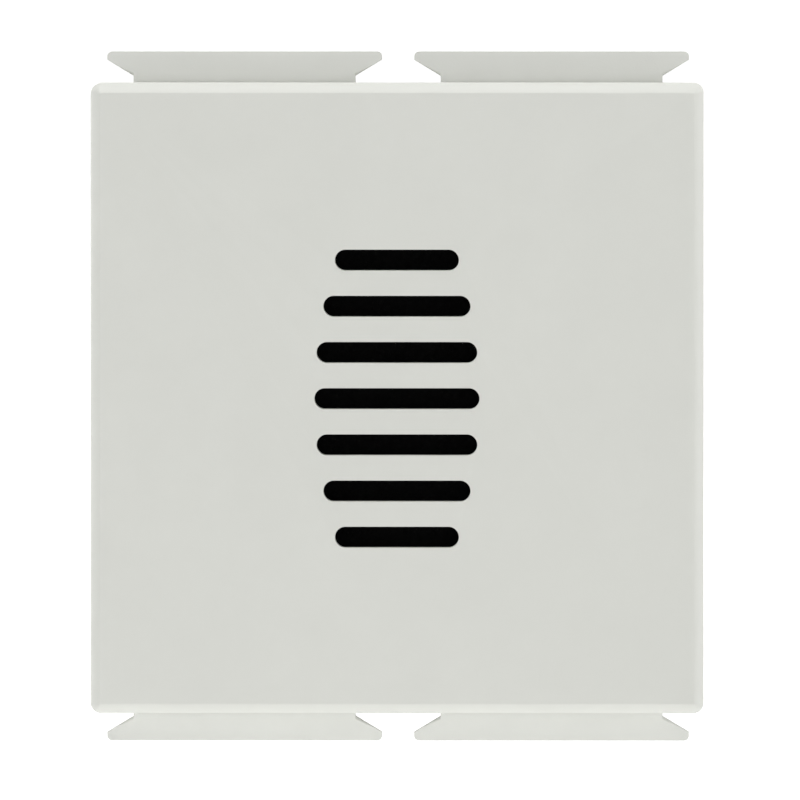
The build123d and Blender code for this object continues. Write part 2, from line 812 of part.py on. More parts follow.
# Rear housing: drafted box with posts, wells and a lap over the carrier
with BuildPart() as rear_housing:
    with BuildSketch(at_depth(housing_front)):
        RectangleRounded(tube_width, tube_height, tube_corner)
    extrude(amount=-housing_length, taper=housing_draft)
    chamfer(rear_housing.faces().sort_by(Axis.Y)[-1].edges(), housing_edge)
    with BuildSketch(at_depth(housing_front)):
        RectangleRounded(tube_inner_width, tube_inner_height, tube_inner_corner)
    extrude(amount=housing_wall - housing_length, taper=housing_draft, mode=Mode.SUBTRACT)
    # Screw posts, webbed to the walls behind the lap
    with BuildSketch(at_depth(housing_rear - housing_wall / 2)):
        with corner_places(screw_spacing_x, screw_spacing_z):
            Circle(post_radius)
    extrude(amount=housing_rear - housing_wall / 2 - chassis_rear - fit_gap)
    with BuildSketch(at_depth(housing_rear - housing_wall / 2)):
        for side in (-1, 1):
            with Locations((side * screw_spacing_x / 2, 0)):
                Rectangle(boss_web, tube_inner_height + housing_wall / 2)
                Rectangle(boss_web, screw_spacing_z, mode=Mode.SUBTRACT)
            with Locations((0, side * screw_spacing_z / 2)):
                Rectangle(tube_inner_width + housing_wall / 2, boss_web)
                Rectangle(screw_spacing_x, boss_web, mode=Mode.SUBTRACT)
    extrude(amount=housing_rear - housing_wall / 2 - post_web_start)
    # Walls and floors of the two terminal wells
    well_middle_z = (well_top_z + well_bottom_z) / 2
    block_top = well_top_z + well_wall
    block_bottom = -tube_inner_height / 2 - housing_wall / 2
    with BuildSketch(at_depth(housing_rear - housing_wall / 2)):
        with Locations((0, (block_top + block_bottom) / 2)):
            with Locations((-terminal_x, 0), (terminal_x, 0)):
                Rectangle(well_width + 2 * well_wall, block_top - block_bottom)
    extrude(amount=housing_rear - housing_wall / 2 - well_floor + well_floor_wall)
    with BuildSketch(at_depth(housing_rear)):
        with Locations((-terminal_x, well_middle_z), (terminal_x, well_middle_z)):
            Rectangle(well_width, well_top_z - well_bottom_z)
    extrude(amount=housing_rear - well_floor, mode=Mode.SUBTRACT)
    # Wire entries through the bottom wall
    with BuildSketch(Plane.XY.offset(well_bottom_z + overrun)):
        with Locations((-terminal_x, entry_middle), (terminal_x, entry_middle)):
            SlotOverall(entry_width, entry_depth)
    extrude(amount=-tube_height / 2, mode=Mode.SUBTRACT)
    # Holes in the well floors for the collar and the tail of each terminal
    with BuildSketch(at_depth(well_floor)):
        with Locations((-terminal_x, terminal_z), (terminal_x, terminal_z)):
            Circle(collar_radius + slide_gap)
        with Locations((-terminal_x, tail_z), (terminal_x, tail_z)):
            Rectangle(tail_width + 2 * slide_gap, tail_thickness + 2 * slide_gap)
    extrude(amount=well_floor_wall + overrun, mode=Mode.SUBTRACT)
    # Recessed holes for the case screws
    with BuildSketch(at_depth(housing_rear)):
        with corner_places(screw_spacing_x, screw_spacing_z):
            Circle(case_screw_radius + slide_gap)
    extrude(amount=housing_rear - chassis_rear, mode=Mode.SUBTRACT)
    with BuildSketch(at_depth(housing_rear)):
        with corner_places(screw_spacing_x, screw_spacing_z):
            Circle(recess_radius)
    extrude(amount=recess_depth, mode=Mode.SUBTRACT)
    # Rebate that slides over the carrier's lap
    with BuildSketch(at_depth(housing_front + lap_length)):
        RectangleRounded(lap_width + 2 * fit_gap, lap_height + 2 * fit_gap, lap_corner + fit_gap)
        RectangleRounded(tube_inner_width, tube_inner_height, tube_inner_corner, mode=Mode.SUBTRACT)
    extrude(amount=lap_length, mode=Mode.SUBTRACT)
save(rear_housing.part, "rear_housing")

# Four case screws at the bottom of their recesses
with BuildPart() as housing_screws:
    with BuildSketch(at_depth(recess_floor)):
        with corner_places(screw_spacing_x, screw_spacing_z):
            Circle(case_screw_radius)
    extrude(amount=case_screw_length)
    with BuildSketch(at_depth(recess_floor + case_head_height)):
        with corner_places(screw_spacing_x, screw_spacing_z):
            Circle(case_head_radius)
    extrude(amount=case_head_height)
    chamfer(housing_screws.faces().sort_by(Axis.Y)[-4:].edges(), case_head_height / 4)
    with BuildSketch(at_depth(recess_floor + case_head_height)):
        with corner_places(screw_spacing_x, screw_spacing_z):
            Rectangle(2 * case_head_radius, drive_slot_width)
    extrude(amount=case_head_height / 2, mode=Mode.SUBTRACT)
save(housing_screws.part, "housing_screws")


def make_terminal_plate(x):
    """Brass plate with a threaded collar and a tail, both through the floor of its well."""
    with BuildPart() as plate:
        with BuildSketch(at_depth(terminal_rear)):
            with Locations((x, terminal_z)):
                Rectangle(terminal_width, terminal_height)
        extrude(amount=terminal_thickness)
        with BuildSketch(at_depth(well_floor)):
            with Locations((x, terminal_z)):
                Circle(collar_radius)
        extrude(amount=collar_length)
        with BuildSketch(at_depth(well_floor)):
            with Locations((x, tail_z)):
                Rectangle(tail_width, tail_thickness)
        extrude(amount=well_floor - tail_front)
        with BuildSketch(at_depth(terminal_rear)):
            with Locations((x, terminal_z)):
                Circle(thread_radius + pivot_gap)
        extrude(amount=terminal_thickness + collar_length, mode=Mode.SUBTRACT)
    return plate.part


def make_terminal_washer(x):
    """Square clamp washer, held square by the walls of its well."""
    with BuildPart() as washer:
        with BuildSketch(at_depth(washer_rear)):
            with Locations((x, terminal_z)):
                Rectangle(washer_width, washer_height)
                Circle(washer_hole_radius, mode=Mode.SUBTRACT)
        extrude(amount=washer_thickness)
        rear_edges = washer.faces().sort_by(Axis.Y)[-1].outer_wire().edges()
        chamfer(rear_edges, washer_thickness / 4)
    return washer.part


def make_terminal_screw(x):
    """Clamp screw with a low head and a straight drive slot, facing the rear."""
    with BuildPart() as screw:
        with BuildSketch(at_depth(terminal_head_front)):
            with Locations((x, terminal_z)):
                Circle(thread_radius)
        extrude(amount=terminal_screw_length)
        with BuildSketch(at_depth(terminal_head_front + terminal_head_height)):
            with Locations((x, terminal_z)):
                Circle(terminal_head_radius)
        extrude(amount=terminal_head_height)
        chamfer(screw.faces().sort_by(Axis.Y)[-1].edges(), terminal_head_height / 6)
        with BuildSketch(at_depth(terminal_head_front + terminal_head_height)):
            with Locations((x, terminal_z)):
                Rectangle(2 * terminal_head_radius, drive_slot_width)
        extrude(amount=drive_slot_depth, mode=Mode.SUBTRACT)
    return screw.part


def make_coil_lead(side):
    """Insulated wire from the tip of a terminal's tail to the underside of the coil."""
    tail_top = terminal_z + terminal_height / 2
    coil_end_x = coil_middle + side * lead_coil_x
    coil_end_depth = core_depth - winding_depth / 2 + winding_corner
    coil_low = -winding_height / 2 - fit_gap - tape_thickness
    knee_z = (tail_top + coil_low) / 2
    with BuildPart() as lead:
        with BuildLine() as route:
            FilletPolyline(
                (side * terminal_x, lead_depth, tail_top),
                (side * terminal_x, lead_depth, knee_z),
                (coil_end_x, coil_end_depth, coil_low - lead_radius),
                radius=lead_bend,
            )
        with BuildSketch(Plane(origin=route.line @ 0, z_dir=route.line % 0)):
            Circle(lead_radius)
        sweep(path=route.line)
    return lead.part


for side_name, side in (("left", -1), ("right", 1)):
    save(make_terminal_plate(side * terminal_x), f"terminal_plate_{side_name}")
    save(make_terminal_washer(side * terminal_x), f"terminal_washer_{side_name}")
    save(make_terminal_screw(side * terminal_x), f"terminal_screw_{side_name}")
    save(make_coil_lead(side), f"coil_lead_{side_name}")
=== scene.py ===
# %% [markdown]
# # A two-module chime insert
#
# The object is a small electric chime that snaps into the frame behind a modular wall plate. The
# photograph shows its front: a pale grey face with seven black sound slots, and four dovetail ears.
# A CAD model already holds every piece at its real size. This lesson dresses that model: it gives each
# piece softened edges, real threads, turns and sheets, and a surface that looks like its material.
#
# Everything is in metres, with X to the right, Y to the rear and Z up.

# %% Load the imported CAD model
import json
from collections import namedtuple
from math import cos, pi, radians, sin, sqrt

import bmesh
import bpy
from mathutils import Matrix, Vector


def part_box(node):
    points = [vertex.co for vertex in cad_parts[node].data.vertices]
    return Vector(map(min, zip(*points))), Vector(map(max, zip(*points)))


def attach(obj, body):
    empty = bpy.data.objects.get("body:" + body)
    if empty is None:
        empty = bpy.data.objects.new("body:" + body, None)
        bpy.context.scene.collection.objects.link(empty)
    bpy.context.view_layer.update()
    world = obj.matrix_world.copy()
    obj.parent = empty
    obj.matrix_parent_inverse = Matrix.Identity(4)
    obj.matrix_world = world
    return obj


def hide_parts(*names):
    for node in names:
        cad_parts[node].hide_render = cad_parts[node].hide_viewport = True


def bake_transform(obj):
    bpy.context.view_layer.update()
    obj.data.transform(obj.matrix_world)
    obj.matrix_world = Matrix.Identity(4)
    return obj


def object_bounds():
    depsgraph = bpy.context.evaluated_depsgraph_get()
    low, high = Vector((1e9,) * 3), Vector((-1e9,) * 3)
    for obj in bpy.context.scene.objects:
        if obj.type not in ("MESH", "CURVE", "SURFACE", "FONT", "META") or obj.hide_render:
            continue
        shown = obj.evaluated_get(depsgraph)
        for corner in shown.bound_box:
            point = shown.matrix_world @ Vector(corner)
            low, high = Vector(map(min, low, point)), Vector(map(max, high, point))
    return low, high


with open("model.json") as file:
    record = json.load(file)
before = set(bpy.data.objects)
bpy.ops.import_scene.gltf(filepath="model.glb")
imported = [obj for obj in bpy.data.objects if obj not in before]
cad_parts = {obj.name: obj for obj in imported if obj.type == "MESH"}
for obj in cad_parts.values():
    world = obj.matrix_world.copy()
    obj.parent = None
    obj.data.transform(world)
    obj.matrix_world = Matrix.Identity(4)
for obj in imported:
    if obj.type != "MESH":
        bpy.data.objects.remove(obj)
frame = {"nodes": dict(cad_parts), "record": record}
cad_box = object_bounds()
mm = 0.001

# %% [markdown]
# ## Sizes that the pieces share
#
# A size that several pieces need is read from the CAD boxes where that is possible, so that the looks
# follow the model. What a box can't tell, such as the number of slots, is written once in millimetres.

# %% Shared sizes
cover_low, cover_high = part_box("front_cover")
face_width = cover_high.x - cover_low.x
face_height = cover_high.z - cover_low.z
face_front = cover_low.y
print(f"face {face_width / mm:.1f} x {face_height / mm:.1f} mm, front at {face_front / mm:.2f} mm")

merge_distance = 0.001 * mm
flat_angle = radians(0.4)
sharp_angle = radians(42)
smooth_angle = radians(60)

# %% [markdown]
# ## From a mesh to a finished piece
#
# Each piece ends in the same way: the mesh becomes an object, gets its material, rides on the body that
# moves it and stands for its CAD node.

# %% Finish a piece
bodies = frame["record"]["behaviour"]["bodies"]
body_of_node = {node: body for body, nodes in bodies.items() for node in nodes}


def open_edges(mesh):
    """How many edges don't have exactly two faces."""
    work = bmesh.new()
    work.from_mesh(mesh)
    count = sum(1 for edge in work.edges if len(edge.link_faces) != 2)
    work.free()
    return count


def overhang(mesh, node):
    """How far a mesh stands out of its node's CAD box, in millimetres."""
    low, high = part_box(node)
    out = 0.0
    for vertex in mesh.vertices:
        for axis in range(3):
            out = max(out, low[axis] - vertex.co[axis], vertex.co[axis] - high[axis])
    return out / mm


def finish_piece(mesh, name, node, material, bend=None):
    """Make the mesh an object that stands for a CAD node. It rides on its body, or with a bend it stays
    where it is, on no body.
    """
    mesh.materials.clear()
    mesh.materials.append(material)
    for polygon in mesh.polygons:
        polygon.material_index = 0
    piece = bpy.data.objects.new(name, mesh)
    bpy.context.scene.collection.objects.link(piece)
    if bend:
        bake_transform(piece)
    else:
        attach(piece, body_of_node[node])
    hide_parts(node)
    facts = f"{len(mesh.polygons)} faces, {open_edges(mesh)} open edges, {overhang(mesh, node):.3f} mm out"
    print(f"{name}: {facts}")


# %% [markdown]
# ## Softened edges
#
# No moulded or punched edge is perfectly sharp: a narrow round catches a thin line of light. The Bevel
# modifier adds it wherever two faces meet at a steep angle. A Weighted Normal modifier then keeps the
# large flat faces flat in the shading, so that only the narrow round shades smoothly.


# %% Modifiers made permanent
def applied(piece):
    """The mesh of an object with its modifiers applied. The object itself is removed."""
    graph = bpy.context.evaluated_depsgraph_get()
    mesh = bpy.data.meshes.new_from_object(piece.evaluated_get(graph), depsgraph=graph)
    bpy.data.objects.remove(piece)
    return mesh


def loose_object(data, name="work"):
    """An object in the scene that stands for no CAD node, such as one for modifiers to work on."""
    piece = bpy.data.objects.new(name, data)
    bpy.context.scene.collection.objects.link(piece)
    return piece


def soften(mesh, width, segments=2):
    """Round every sharp edge of a mesh and shade it smooth, with its flat faces kept flat."""
    piece = loose_object(mesh)
    edges = piece.modifiers.new("Edges", "BEVEL")
    edges.width = width
    edges.segments = segments
    edges.limit_method = "ANGLE"
    edges.angle_limit = sharp_angle
    edges.use_clamp_overlap = True
    rounded = applied(piece)
    rounded.shade_smooth()
    rounded.set_sharp_from_angle(angle=smooth_angle)
    piece = loose_object(rounded)
    normals = piece.modifiers.new("Flat faces stay flat", "WEIGHTED_NORMAL")
    normals.keep_sharp = True
    return applied(piece)


# %% [markdown]
# ## Copies of CAD solids
#
# The CAD node itself is never edited. Its mesh is loose triangles, so a copy is merged first, and the
# triangles of each flat area are dissolved into one face. The Bevel modifier needs that: on loose
# triangles it would find no shared edge to round.


# %% Copy a CAD node
def mesh_of(work, name):
    """The mesh that a bmesh has made. The bmesh itself is freed."""
    mesh = bpy.data.meshes.new(name)
    work.to_mesh(mesh)
    work.free()
    return mesh


def flat_faces(node):
    """A bmesh of a CAD node with its triangles merged and each flat area made one face."""
    work = bmesh.new()
    work.from_mesh(frame["nodes"][node].data)
    bmesh.ops.remove_doubles(work, verts=work.verts, dist=merge_distance)
    bmesh.ops.dissolve_limit(work, angle_limit=flat_angle, verts=work.verts, edges=work.edges)
    bmesh.ops.recalc_face_normals(work, faces=work.faces)
    return work


def cad_copy(node):
    """A clean copy of a CAD node's mesh."""
    return mesh_of(flat_faces(node), f"{node}_copy")


# %% [markdown]
# ## Materials: the shared recipe
#
# A material here is a Principled shader with three things behind it. A coarse noise shifts the colour a
# little, as pigment or plating does. A fine noise bends the light through a Bump node, as the skin of
# the mould or the grain of the metal does. And edges that stick out are rubbed a little lighter, which
# Cycles finds by how pointed the surface is. The noises read Object coordinates, which are real metres
# here, so one divided by the size of a grain is the noise scale.


# %% Nodes and their inputs
def feed(tree, value, socket):
    """Set a socket to a number, or link it to an output. A node stands for its first output."""
    if isinstance(value, bpy.types.Node):
        value = value.outputs[0]
    if isinstance(value, bpy.types.NodeSocket):
        tree.links.new(value, socket)
    else:
        socket.default_value = value


def fill(tree, node, **inputs):
    """Feed the inputs of a node by their names, with _ for a space."""
    for label, value in inputs.items():
        feed(tree, value, node.inputs[label.replace("_", " ")])


def put(tree, kind, settings=None, **inputs):
    """Add a node with its settings and inputs."""
    node = tree.nodes.new(kind)
    for key, value in (settings or {}).items():
        setattr(node, key, value)
    fill(tree, node, **inputs)
    return node


def new_material(name, **inputs):
    """A material with one Principled shader, and that shader's own inputs."""
    material = bpy.data.materials.new(f"{name}_look")
    material.use_nodes = True
    shader = material.node_tree.nodes["Principled BSDF"]
    fill(material.node_tree, shader, **inputs)
    return material, material.node_tree, shader


# %% Noise, colour and bumps
noise_low, noise_high = 0.3, 0.7


def object_places(tree, stretch=(1, 1, 1)):
    """Object coordinates, stretched along an axis for a brushed or drawn grain."""
    places = put(tree, "ShaderNodeTexCoord").outputs["Object"]
    return put(tree, "ShaderNodeMapping", Vector=places, Scale=stretch)


def length(tree, places):
    """The distance of a place from the origin."""
    return put(tree, "ShaderNodeVectorMath", {"operation": "LENGTH"}, Vector=places).outputs["Value"]


def noise(tree, places, grain, detail=3.0):
    """A noise whose blobs are about one grain wide."""
    return put(tree, "ShaderNodeTexNoise", Vector=places, Scale=1 / grain, Detail=detail).outputs["Fac"]


def between(tree, amount, low, high, start=noise_low, end=noise_high):
    """Map a noise, or another amount from start to end, onto a range of plain numbers."""
    limits = {"From_Min": start, "From_Max": end, "To_Min": low, "To_Max": high}
    return put(tree, "ShaderNodeMapRange", Value=amount, **limits)


def mixed(tree, amount, first, second):
    """Mix two colours. The Mix node keeps its colour sockets after the ones for numbers and vectors."""
    mix = put(tree, "ShaderNodeMix", {"data_type": "RGBA"}, Factor=amount)
    feed(tree, first, mix.inputs[6])
    feed(tree, second, mix.inputs[7])
    return mix.outputs[2]


def rubbed_edges(tree, places, share):
    """0 on flat surfaces, and up to a share on the edges that stick out, in uneven patches."""
    patch = 1.5 * mm
    least_rubbed = 0.4 * share
    edge_starts, edge_ends = 0.52, 0.6
    pointed = put(tree, "ShaderNodeNewGeometry").outputs["Pointiness"]
    patches = between(tree, noise(tree, places, patch), least_rubbed, share)
    return between(tree, pointed, 0.0, patches, edge_starts, edge_ends)


def cloudy(tree, amount, colour, change, rubbed=None):
    """A colour, lighter and darker by a share of itself, and lighter still where it is rubbed."""
    ramp = put(tree, "ShaderNodeValToRGB", Fac=amount)
    darker, lighter = ramp.color_ramp.elements
    darker.position = noise_low
    darker.color = [*(channel * (1 - change) for channel in colour), 1]
    lighter.position = noise_high
    lighter.color = [*(channel * (1 + change) for channel in colour), 1]
    if rubbed is None:
        return ramp
    return mixed(tree, rubbed, ramp, [*(sqrt(channel) for channel in colour), 1])


def bumps(tree, height, depth):
    """Light bent by a height, whose full swing is as deep as given."""
    return put(tree, "ShaderNodeBump", Height=height, Distance=depth)


# %% [markdown]
# ## Moulded plastic
#
# The face, the carrier and the housing are matte thermoplastic. Their skin is the skin of a
# spark-eroded mould: pits about a tenth of a millimetre wide and a few thousandths deep. That is why
# the face looks evenly pale from every side and has no sharp reflection.


# %% Plastic
def moulded_plastic(name, colour, roughness, pit, depth, rub=0.12):
    """Matte plastic with the fine pitted skin of its mould."""
    cloud, shine = 6 * mm, 0.35
    colour_change, roughness_change = 0.01, 0.03
    material, tree, shader = new_material(name, Specular_IOR_Level=shine)
    places = object_places(tree)
    clouds = noise(tree, places, cloud)
    fill(
        tree,
        shader,
        Base_Color=cloudy(tree, clouds, colour, colour_change, rubbed_edges(tree, places, rub)),
        Roughness=between(tree, clouds, roughness - roughness_change, roughness + roughness_change),
        Normal=bumps(tree, noise(tree, places, pit, detail=2.0), depth),
    )
    return material


cover_plastic = moulded_plastic("cover_plastic", (0.651, 0.658, 0.617), 0.55, 0.14 * mm, 0.004 * mm, 0.05)
carrier_plastic = moulded_plastic("carrier_plastic", (0.668, 0.675, 0.64), 0.58, 0.16 * mm, 0.005 * mm)
housing_plastic = moulded_plastic("housing_plastic", (0.4, 0.405, 0.39), 0.62, 0.22 * mm, 0.008 * mm)
nylon = moulded_plastic("bobbin_nylon", (0.7, 0.67, 0.57), 0.42, 0.5 * mm, 0.003 * mm)
lead_sleeve = moulded_plastic("lead_insulation", (0.4, 0.03, 0.02), 0.5, 0.3 * mm, 0.004 * mm)
print("plastics:", cover_plastic.name, carrier_plastic.name, housing_plastic.name, nylon.name)

# %% [markdown]
# ## Metals
#
# Zinc-plated steel has a soft cloudy sheen, rolled core iron is dark and blued, and brass is smoother and
# brighter. A metal's colour is its reflection, so Metallic is 1 and the character comes from the
# roughness, which a coarse noise moves up and down, and from a fine grain, which runs one way on sheet.


# %% Plated, rolled and turned metal
def metal(name, colour, roughness, cloud, grain, stretch=(1, 1, 1), depth=0.002 * mm):
    """Metal with cloudy roughness and a fine grain, stretched along the rolling direction."""
    colour_change, rub = 0.05, 0.5
    smoother, rougher = 0.06, 0.08
    material, tree, shader = new_material(name, Metallic=1.0)
    places = object_places(tree)
    clouds = noise(tree, places, cloud)
    fill(
        tree,
        shader,
        Base_Color=cloudy(tree, clouds, colour, colour_change, rubbed_edges(tree, places, rub)),
        Roughness=between(tree, clouds, roughness - smoother, roughness + rougher),
        Normal=bumps(tree, noise(tree, object_places(tree, stretch), grain, detail=2.0), depth),
    )
    return material


zinc = metal("zinc_steel", (0.58, 0.59, 0.6), 0.36, 2.5 * mm, 0.12 * mm)
sheet_zinc = metal("zinc_sheet", (0.58, 0.59, 0.6), 0.34, 5 * mm, 0.1 * mm, (1, 1, 0.04))
iron = metal("core_iron", (0.2, 0.2, 0.21), 0.42, 3 * mm, 0.1 * mm, (1, 1, 0.08))
brass = metal("terminal_brass", (0.78, 0.58, 0.25), 0.28, 2 * mm, 0.08 * mm)
spring_steel = metal("spring_steel", (0.5, 0.5, 0.5), 0.25, 0.8 * mm, 0.05 * mm)
print("metals:", zinc.name, iron.name, brass.name, spring_steel.name)

# %% [markdown]
# ## The spun shine of the gong
#
# The bell is drawn from sheet, polished on a spindle and nickel plated. The polishing leaves rings
# about its axis, so the bump reads the distance from that axis: the length of (x, 0, z).


# %% Spun nickel
def spun_nickel():
    """Bright plating with fine rings about the Y axis."""
    cloud, ring_width, ring_depth = 4 * mm, 0.12 * mm, 0.0015 * mm
    colour, colour_change, rub = (0.7, 0.69, 0.66), 0.03, 0.3
    smoothest, roughest = 0.12, 0.26
    material, tree, shader = new_material("gong_nickel", Metallic=1.0)
    radius = length(tree, object_places(tree, (1, 0, 1)))
    line = {"noise_dimensions": "1D"}
    rings = put(tree, "ShaderNodeTexNoise", line, W=radius, Scale=1 / ring_width, Detail=4.0).outputs["Fac"]
    places = object_places(tree)
    clouds = noise(tree, places, cloud)
    fill(
        tree,
        shader,
        Base_Color=cloudy(tree, clouds, colour, colour_change, rubbed_edges(tree, places, rub)),
        Roughness=between(tree, rings, smoothest, roughest),
        Normal=bumps(tree, rings, ring_depth),
    )
    return material


nickel = spun_nickel()
print("made", nickel.name)

# %% [markdown]
# ## Copper, tape, rubber and felt
#
# The magnet wire is bright copper under a clear amber enamel, which is a coat on the shader. The tape
# round the coil is a yellow film, smooth and glossy, with faint wrinkles from winding. The rubber is dull
# black. The felt is painted darker than real felt, as painted shade, so that the slots look like holes.


# %% Enamelled copper, film, rubber and felt
def fine_skin(name, colour, change, cloud, grain, depth, stretch=(1, 1, 1), **inputs):
    """A cloudy colour under a fine skin, with the shader's other inputs the same all over."""
    material, tree, shader = new_material(name, **inputs)
    clouds = noise(tree, object_places(tree), cloud)
    skin = noise(tree, object_places(tree, stretch), grain)
    fill(tree, shader, Base_Color=cloudy(tree, clouds, colour, change), Normal=bumps(tree, skin, depth))
    return material


def dull_black(name, level, roughness, shine, grain, depth):
    """Black rubber or felt: hardly any colour or shine, and a rough skin."""
    change, cloud = 0.25, 4 * grain
    constants = {"Roughness": roughness, "Specular_IOR_Level": shine}
    return fine_skin(name, (level, level, level), change, cloud, grain, depth, **constants)


enamel = {"Metallic": 1.0, "Roughness": 0.3, "Coat_Weight": 0.6, "Coat_Roughness": 0.08}
gloss = {"Roughness": 0.22, "Coat_Weight": 0.4, "Coat_Roughness": 0.12}
wrinkled = (0.15, 1, 1)
copper = fine_skin("winding_copper", (0.62, 0.26, 0.12), 0.12, 1.2 * mm, 0.1 * mm, 0.001 * mm, **enamel)
film = fine_skin("coil_tape_film", (0.72, 0.55, 0.08), 0.06, 3 * mm, 0.8 * mm, 0.012 * mm, wrinkled, **gloss)
rubber = dull_black("black_rubber", 0.02, 0.75, 0.2, 0.15 * mm, 0.006 * mm)
# The felt's level is below that of real felt: painted shade that makes the slots look like holes.
felt_and_slot_shade = dull_black("black_felt", 0.003, 0.95, 0.03, 0.08 * mm, 0.02 * mm)
print("made", copper.name, film.name, rubber.name, felt_and_slot_shade.name)

# %% [markdown]
# ## Geometry Nodes, built by a script
#
# What repeats on this object is grown by Geometry Nodes: the slots, the threads, the turns of wire, the
# sheets of the core and the fibres of the felt. Each tree is made here with named inputs for its sizes. A
# modifier's input is reached by its identifier and not by its name, so a helper looks the identifier up.


# %% Begin, end and run a tree
def new_tree(name, sizes, counts=()):
    """A tree with an input for a mesh, for each size, for each count and for the material."""
    tree = bpy.data.node_groups.new(name, "GeometryNodeTree")
    kinds = {"Geometry": "Geometry", "Material": "Material"}
    kinds |= dict.fromkeys(sizes, "Float") | dict.fromkeys(counts, "Int")
    for label, kind in kinds.items():
        tree.interface.new_socket(label, in_out="INPUT", socket_type=f"NodeSocket{kind}")
    tree.interface.new_socket("Geometry", in_out="OUTPUT", socket_type="NodeSocketGeometry")
    return tree, put(tree, "NodeGroupInput").outputs


def close_tree(tree, given, grown):
    """End a tree with real geometry and its material, because an export drops instances."""
    real = put(tree, "GeometryNodeRealizeInstances", Geometry=grown)
    painted = put(tree, "GeometryNodeSetMaterial", Geometry=real, Material=given["Material"])
    put(tree, "NodeGroupOutput", Geometry=painted)
    return tree


def repeat(tree, given, points, piece, **inputs):
    """Put a copy of a piece on every point, and end the tree."""
    copies = put(tree, "GeometryNodeInstanceOnPoints", Points=points, Instance=piece, **inputs)
    return close_tree(tree, given, copies)


def grow(mesh, tree, material, **sizes):
    """Run a tree on a mesh and return the plain mesh that it makes."""
    piece = loose_object(mesh)
    modifier = piece.modifiers.new(tree.name, "NODES")
    modifier.node_group = tree
    sizes["Material"] = material
    for item in tree.interface.items_tree:
        key = item.name.replace(" ", "_")
        if item.in_out == "INPUT" and key in sizes:
            modifier[item.identifier] = sizes[key]
    piece.update_tag()
    bpy.context.view_layer.update()
    return applied(piece)


# %% Sums, places and shapes in a tree
def reckon(tree, operation, *values):
    """A Math node on one or two values."""
    node = put(tree, "ShaderNodeMath", {"operation": operation})
    for value, socket in zip(values, node.inputs):
        feed(tree, value, socket)
    return node


def half_chord(tree, radius, away):
    """How far a circle reaches to the side at a distance from its centre."""
    squares = [reckon(tree, "MULTIPLY", value, value) for value in (radius, away)]
    return reckon(tree, "SQRT", reckon(tree, "MAXIMUM", reckon(tree, "SUBTRACT", *squares), 0.0))


def vector(tree, x=0.0, y=0.0, z=0.0):
    """A Combine XYZ node."""
    return put(tree, "ShaderNodeCombineXYZ", X=x, Y=y, Z=z)


def split(tree, place=None):
    """The X, Y and Z of a place, which is each point's own if none is given."""
    place = place or put(tree, "GeometryNodeInputPosition")
    return put(tree, "ShaderNodeSeparateXYZ", Vector=place).outputs


def circle(tree, width, points):
    """A round outline of a given width."""
    mode = {"mode": "RADIUS"}
    radius = reckon(tree, "MULTIPLY", width, 0.5)
    return put(tree, "GeometryNodeCurvePrimitiveCircle", mode, Resolution=points, Radius=radius)


def wire_along(tree, path, width, sides):
    """A wire with closed ends along a curve."""
    section = circle(tree, width, sides)
    return put(tree, "GeometryNodeCurveToMesh", Curve=path, Profile_Curve=section, Fill_Caps=True)


def plate(tree, flat, thickness, **direction):
    """Flat faces made solid: lifted by a thickness, and closed below by the same faces turned over."""
    sizes = {"Offset_Scale": thickness, "Individual": False, **direction}
    lifted = put(tree, "GeometryNodeExtrudeMesh", {"mode": "FACES"}, Mesh=flat, **sizes)
    both = put(tree, "GeometryNodeJoinGeometry")
    for part in (lifted, put(tree, "GeometryNodeFlipFaces", Mesh=flat)):
        tree.links.new(part.outputs[0], both.inputs[0])
    return put(tree, "GeometryNodeMergeByDistance", Geometry=both, Distance=merge_distance)


def cut_out(tree, whole, cutter):
    """A mesh without the room that a cutter takes."""
    settings = {"operation": "DIFFERENCE", "solver": "EXACT"}
    return put(tree, "GeometryNodeMeshBoolean", settings, Mesh_1=whole, Mesh_2=cutter)


# %% [markdown]
# ## The cover without its slots
#
# The cover is a shallow tray. A ring of points round a rectangle with rounded corners is repeated at
# several depths, and faces join each ring to the next. Along the edge of the face the rings shrink on
# a curve between a round and a chamfer: a power of 1 on the sine and cosine would give a quarter circle
# and 2 a flat chamfer. The band in between catches the even bright line in the photograph.


# %% Rings of a rounded rectangle
corner_steps = 10


def ring(width, height, corner, depth):
    """Points round a rounded rectangle in the XZ plane, at a depth along Y."""
    points = []
    for quarter, (side_x, side_z) in enumerate(((1, 1), (-1, 1), (-1, -1), (1, -1))):
        for step in range(corner_steps + 1):
            angle = (quarter + step / corner_steps) * pi / 2
            x = side_x * (width / 2 - corner) + corner * cos(angle)
            z = side_z * (height / 2 - corner) + corner * sin(angle)
            points.append((x, depth, z))
    return points


def shell(rings, name, closed=False):
    """A mesh whose faces join each ring to the next. Open stacks get a cap at each end."""
    work = bmesh.new()
    loops = [[work.verts.new(point) for point in points] for points in rings]
    pairs = list(zip(loops, loops[1:]))
    if closed:
        pairs.append((loops[-1], loops[0]))
    for first, second in pairs:
        for index in range(len(first)):
            after = (index + 1) % len(first)
            work.faces.new((first[index], first[after], second[after], second[index]))
    if not closed:
        work.faces.new(reversed(loops[0]))
        work.faces.new(loops[-1])
    bmesh.ops.remove_doubles(work, verts=work.verts, dist=merge_distance)
    bmesh.ops.recalc_face_normals(work, faces=work.faces)
    return mesh_of(work, name)


# %% The tray
cover_wall = 1.8 * mm
skirt_wall = 1.5 * mm
cover_corner = 0.72 * mm
cover_edge = 0.7 * mm
edge_steps = 16
edge_power = 1.6
skirt_rear = -1.8 * mm
inner_corner = 0.3 * mm
cover_inner = face_front + cover_wall

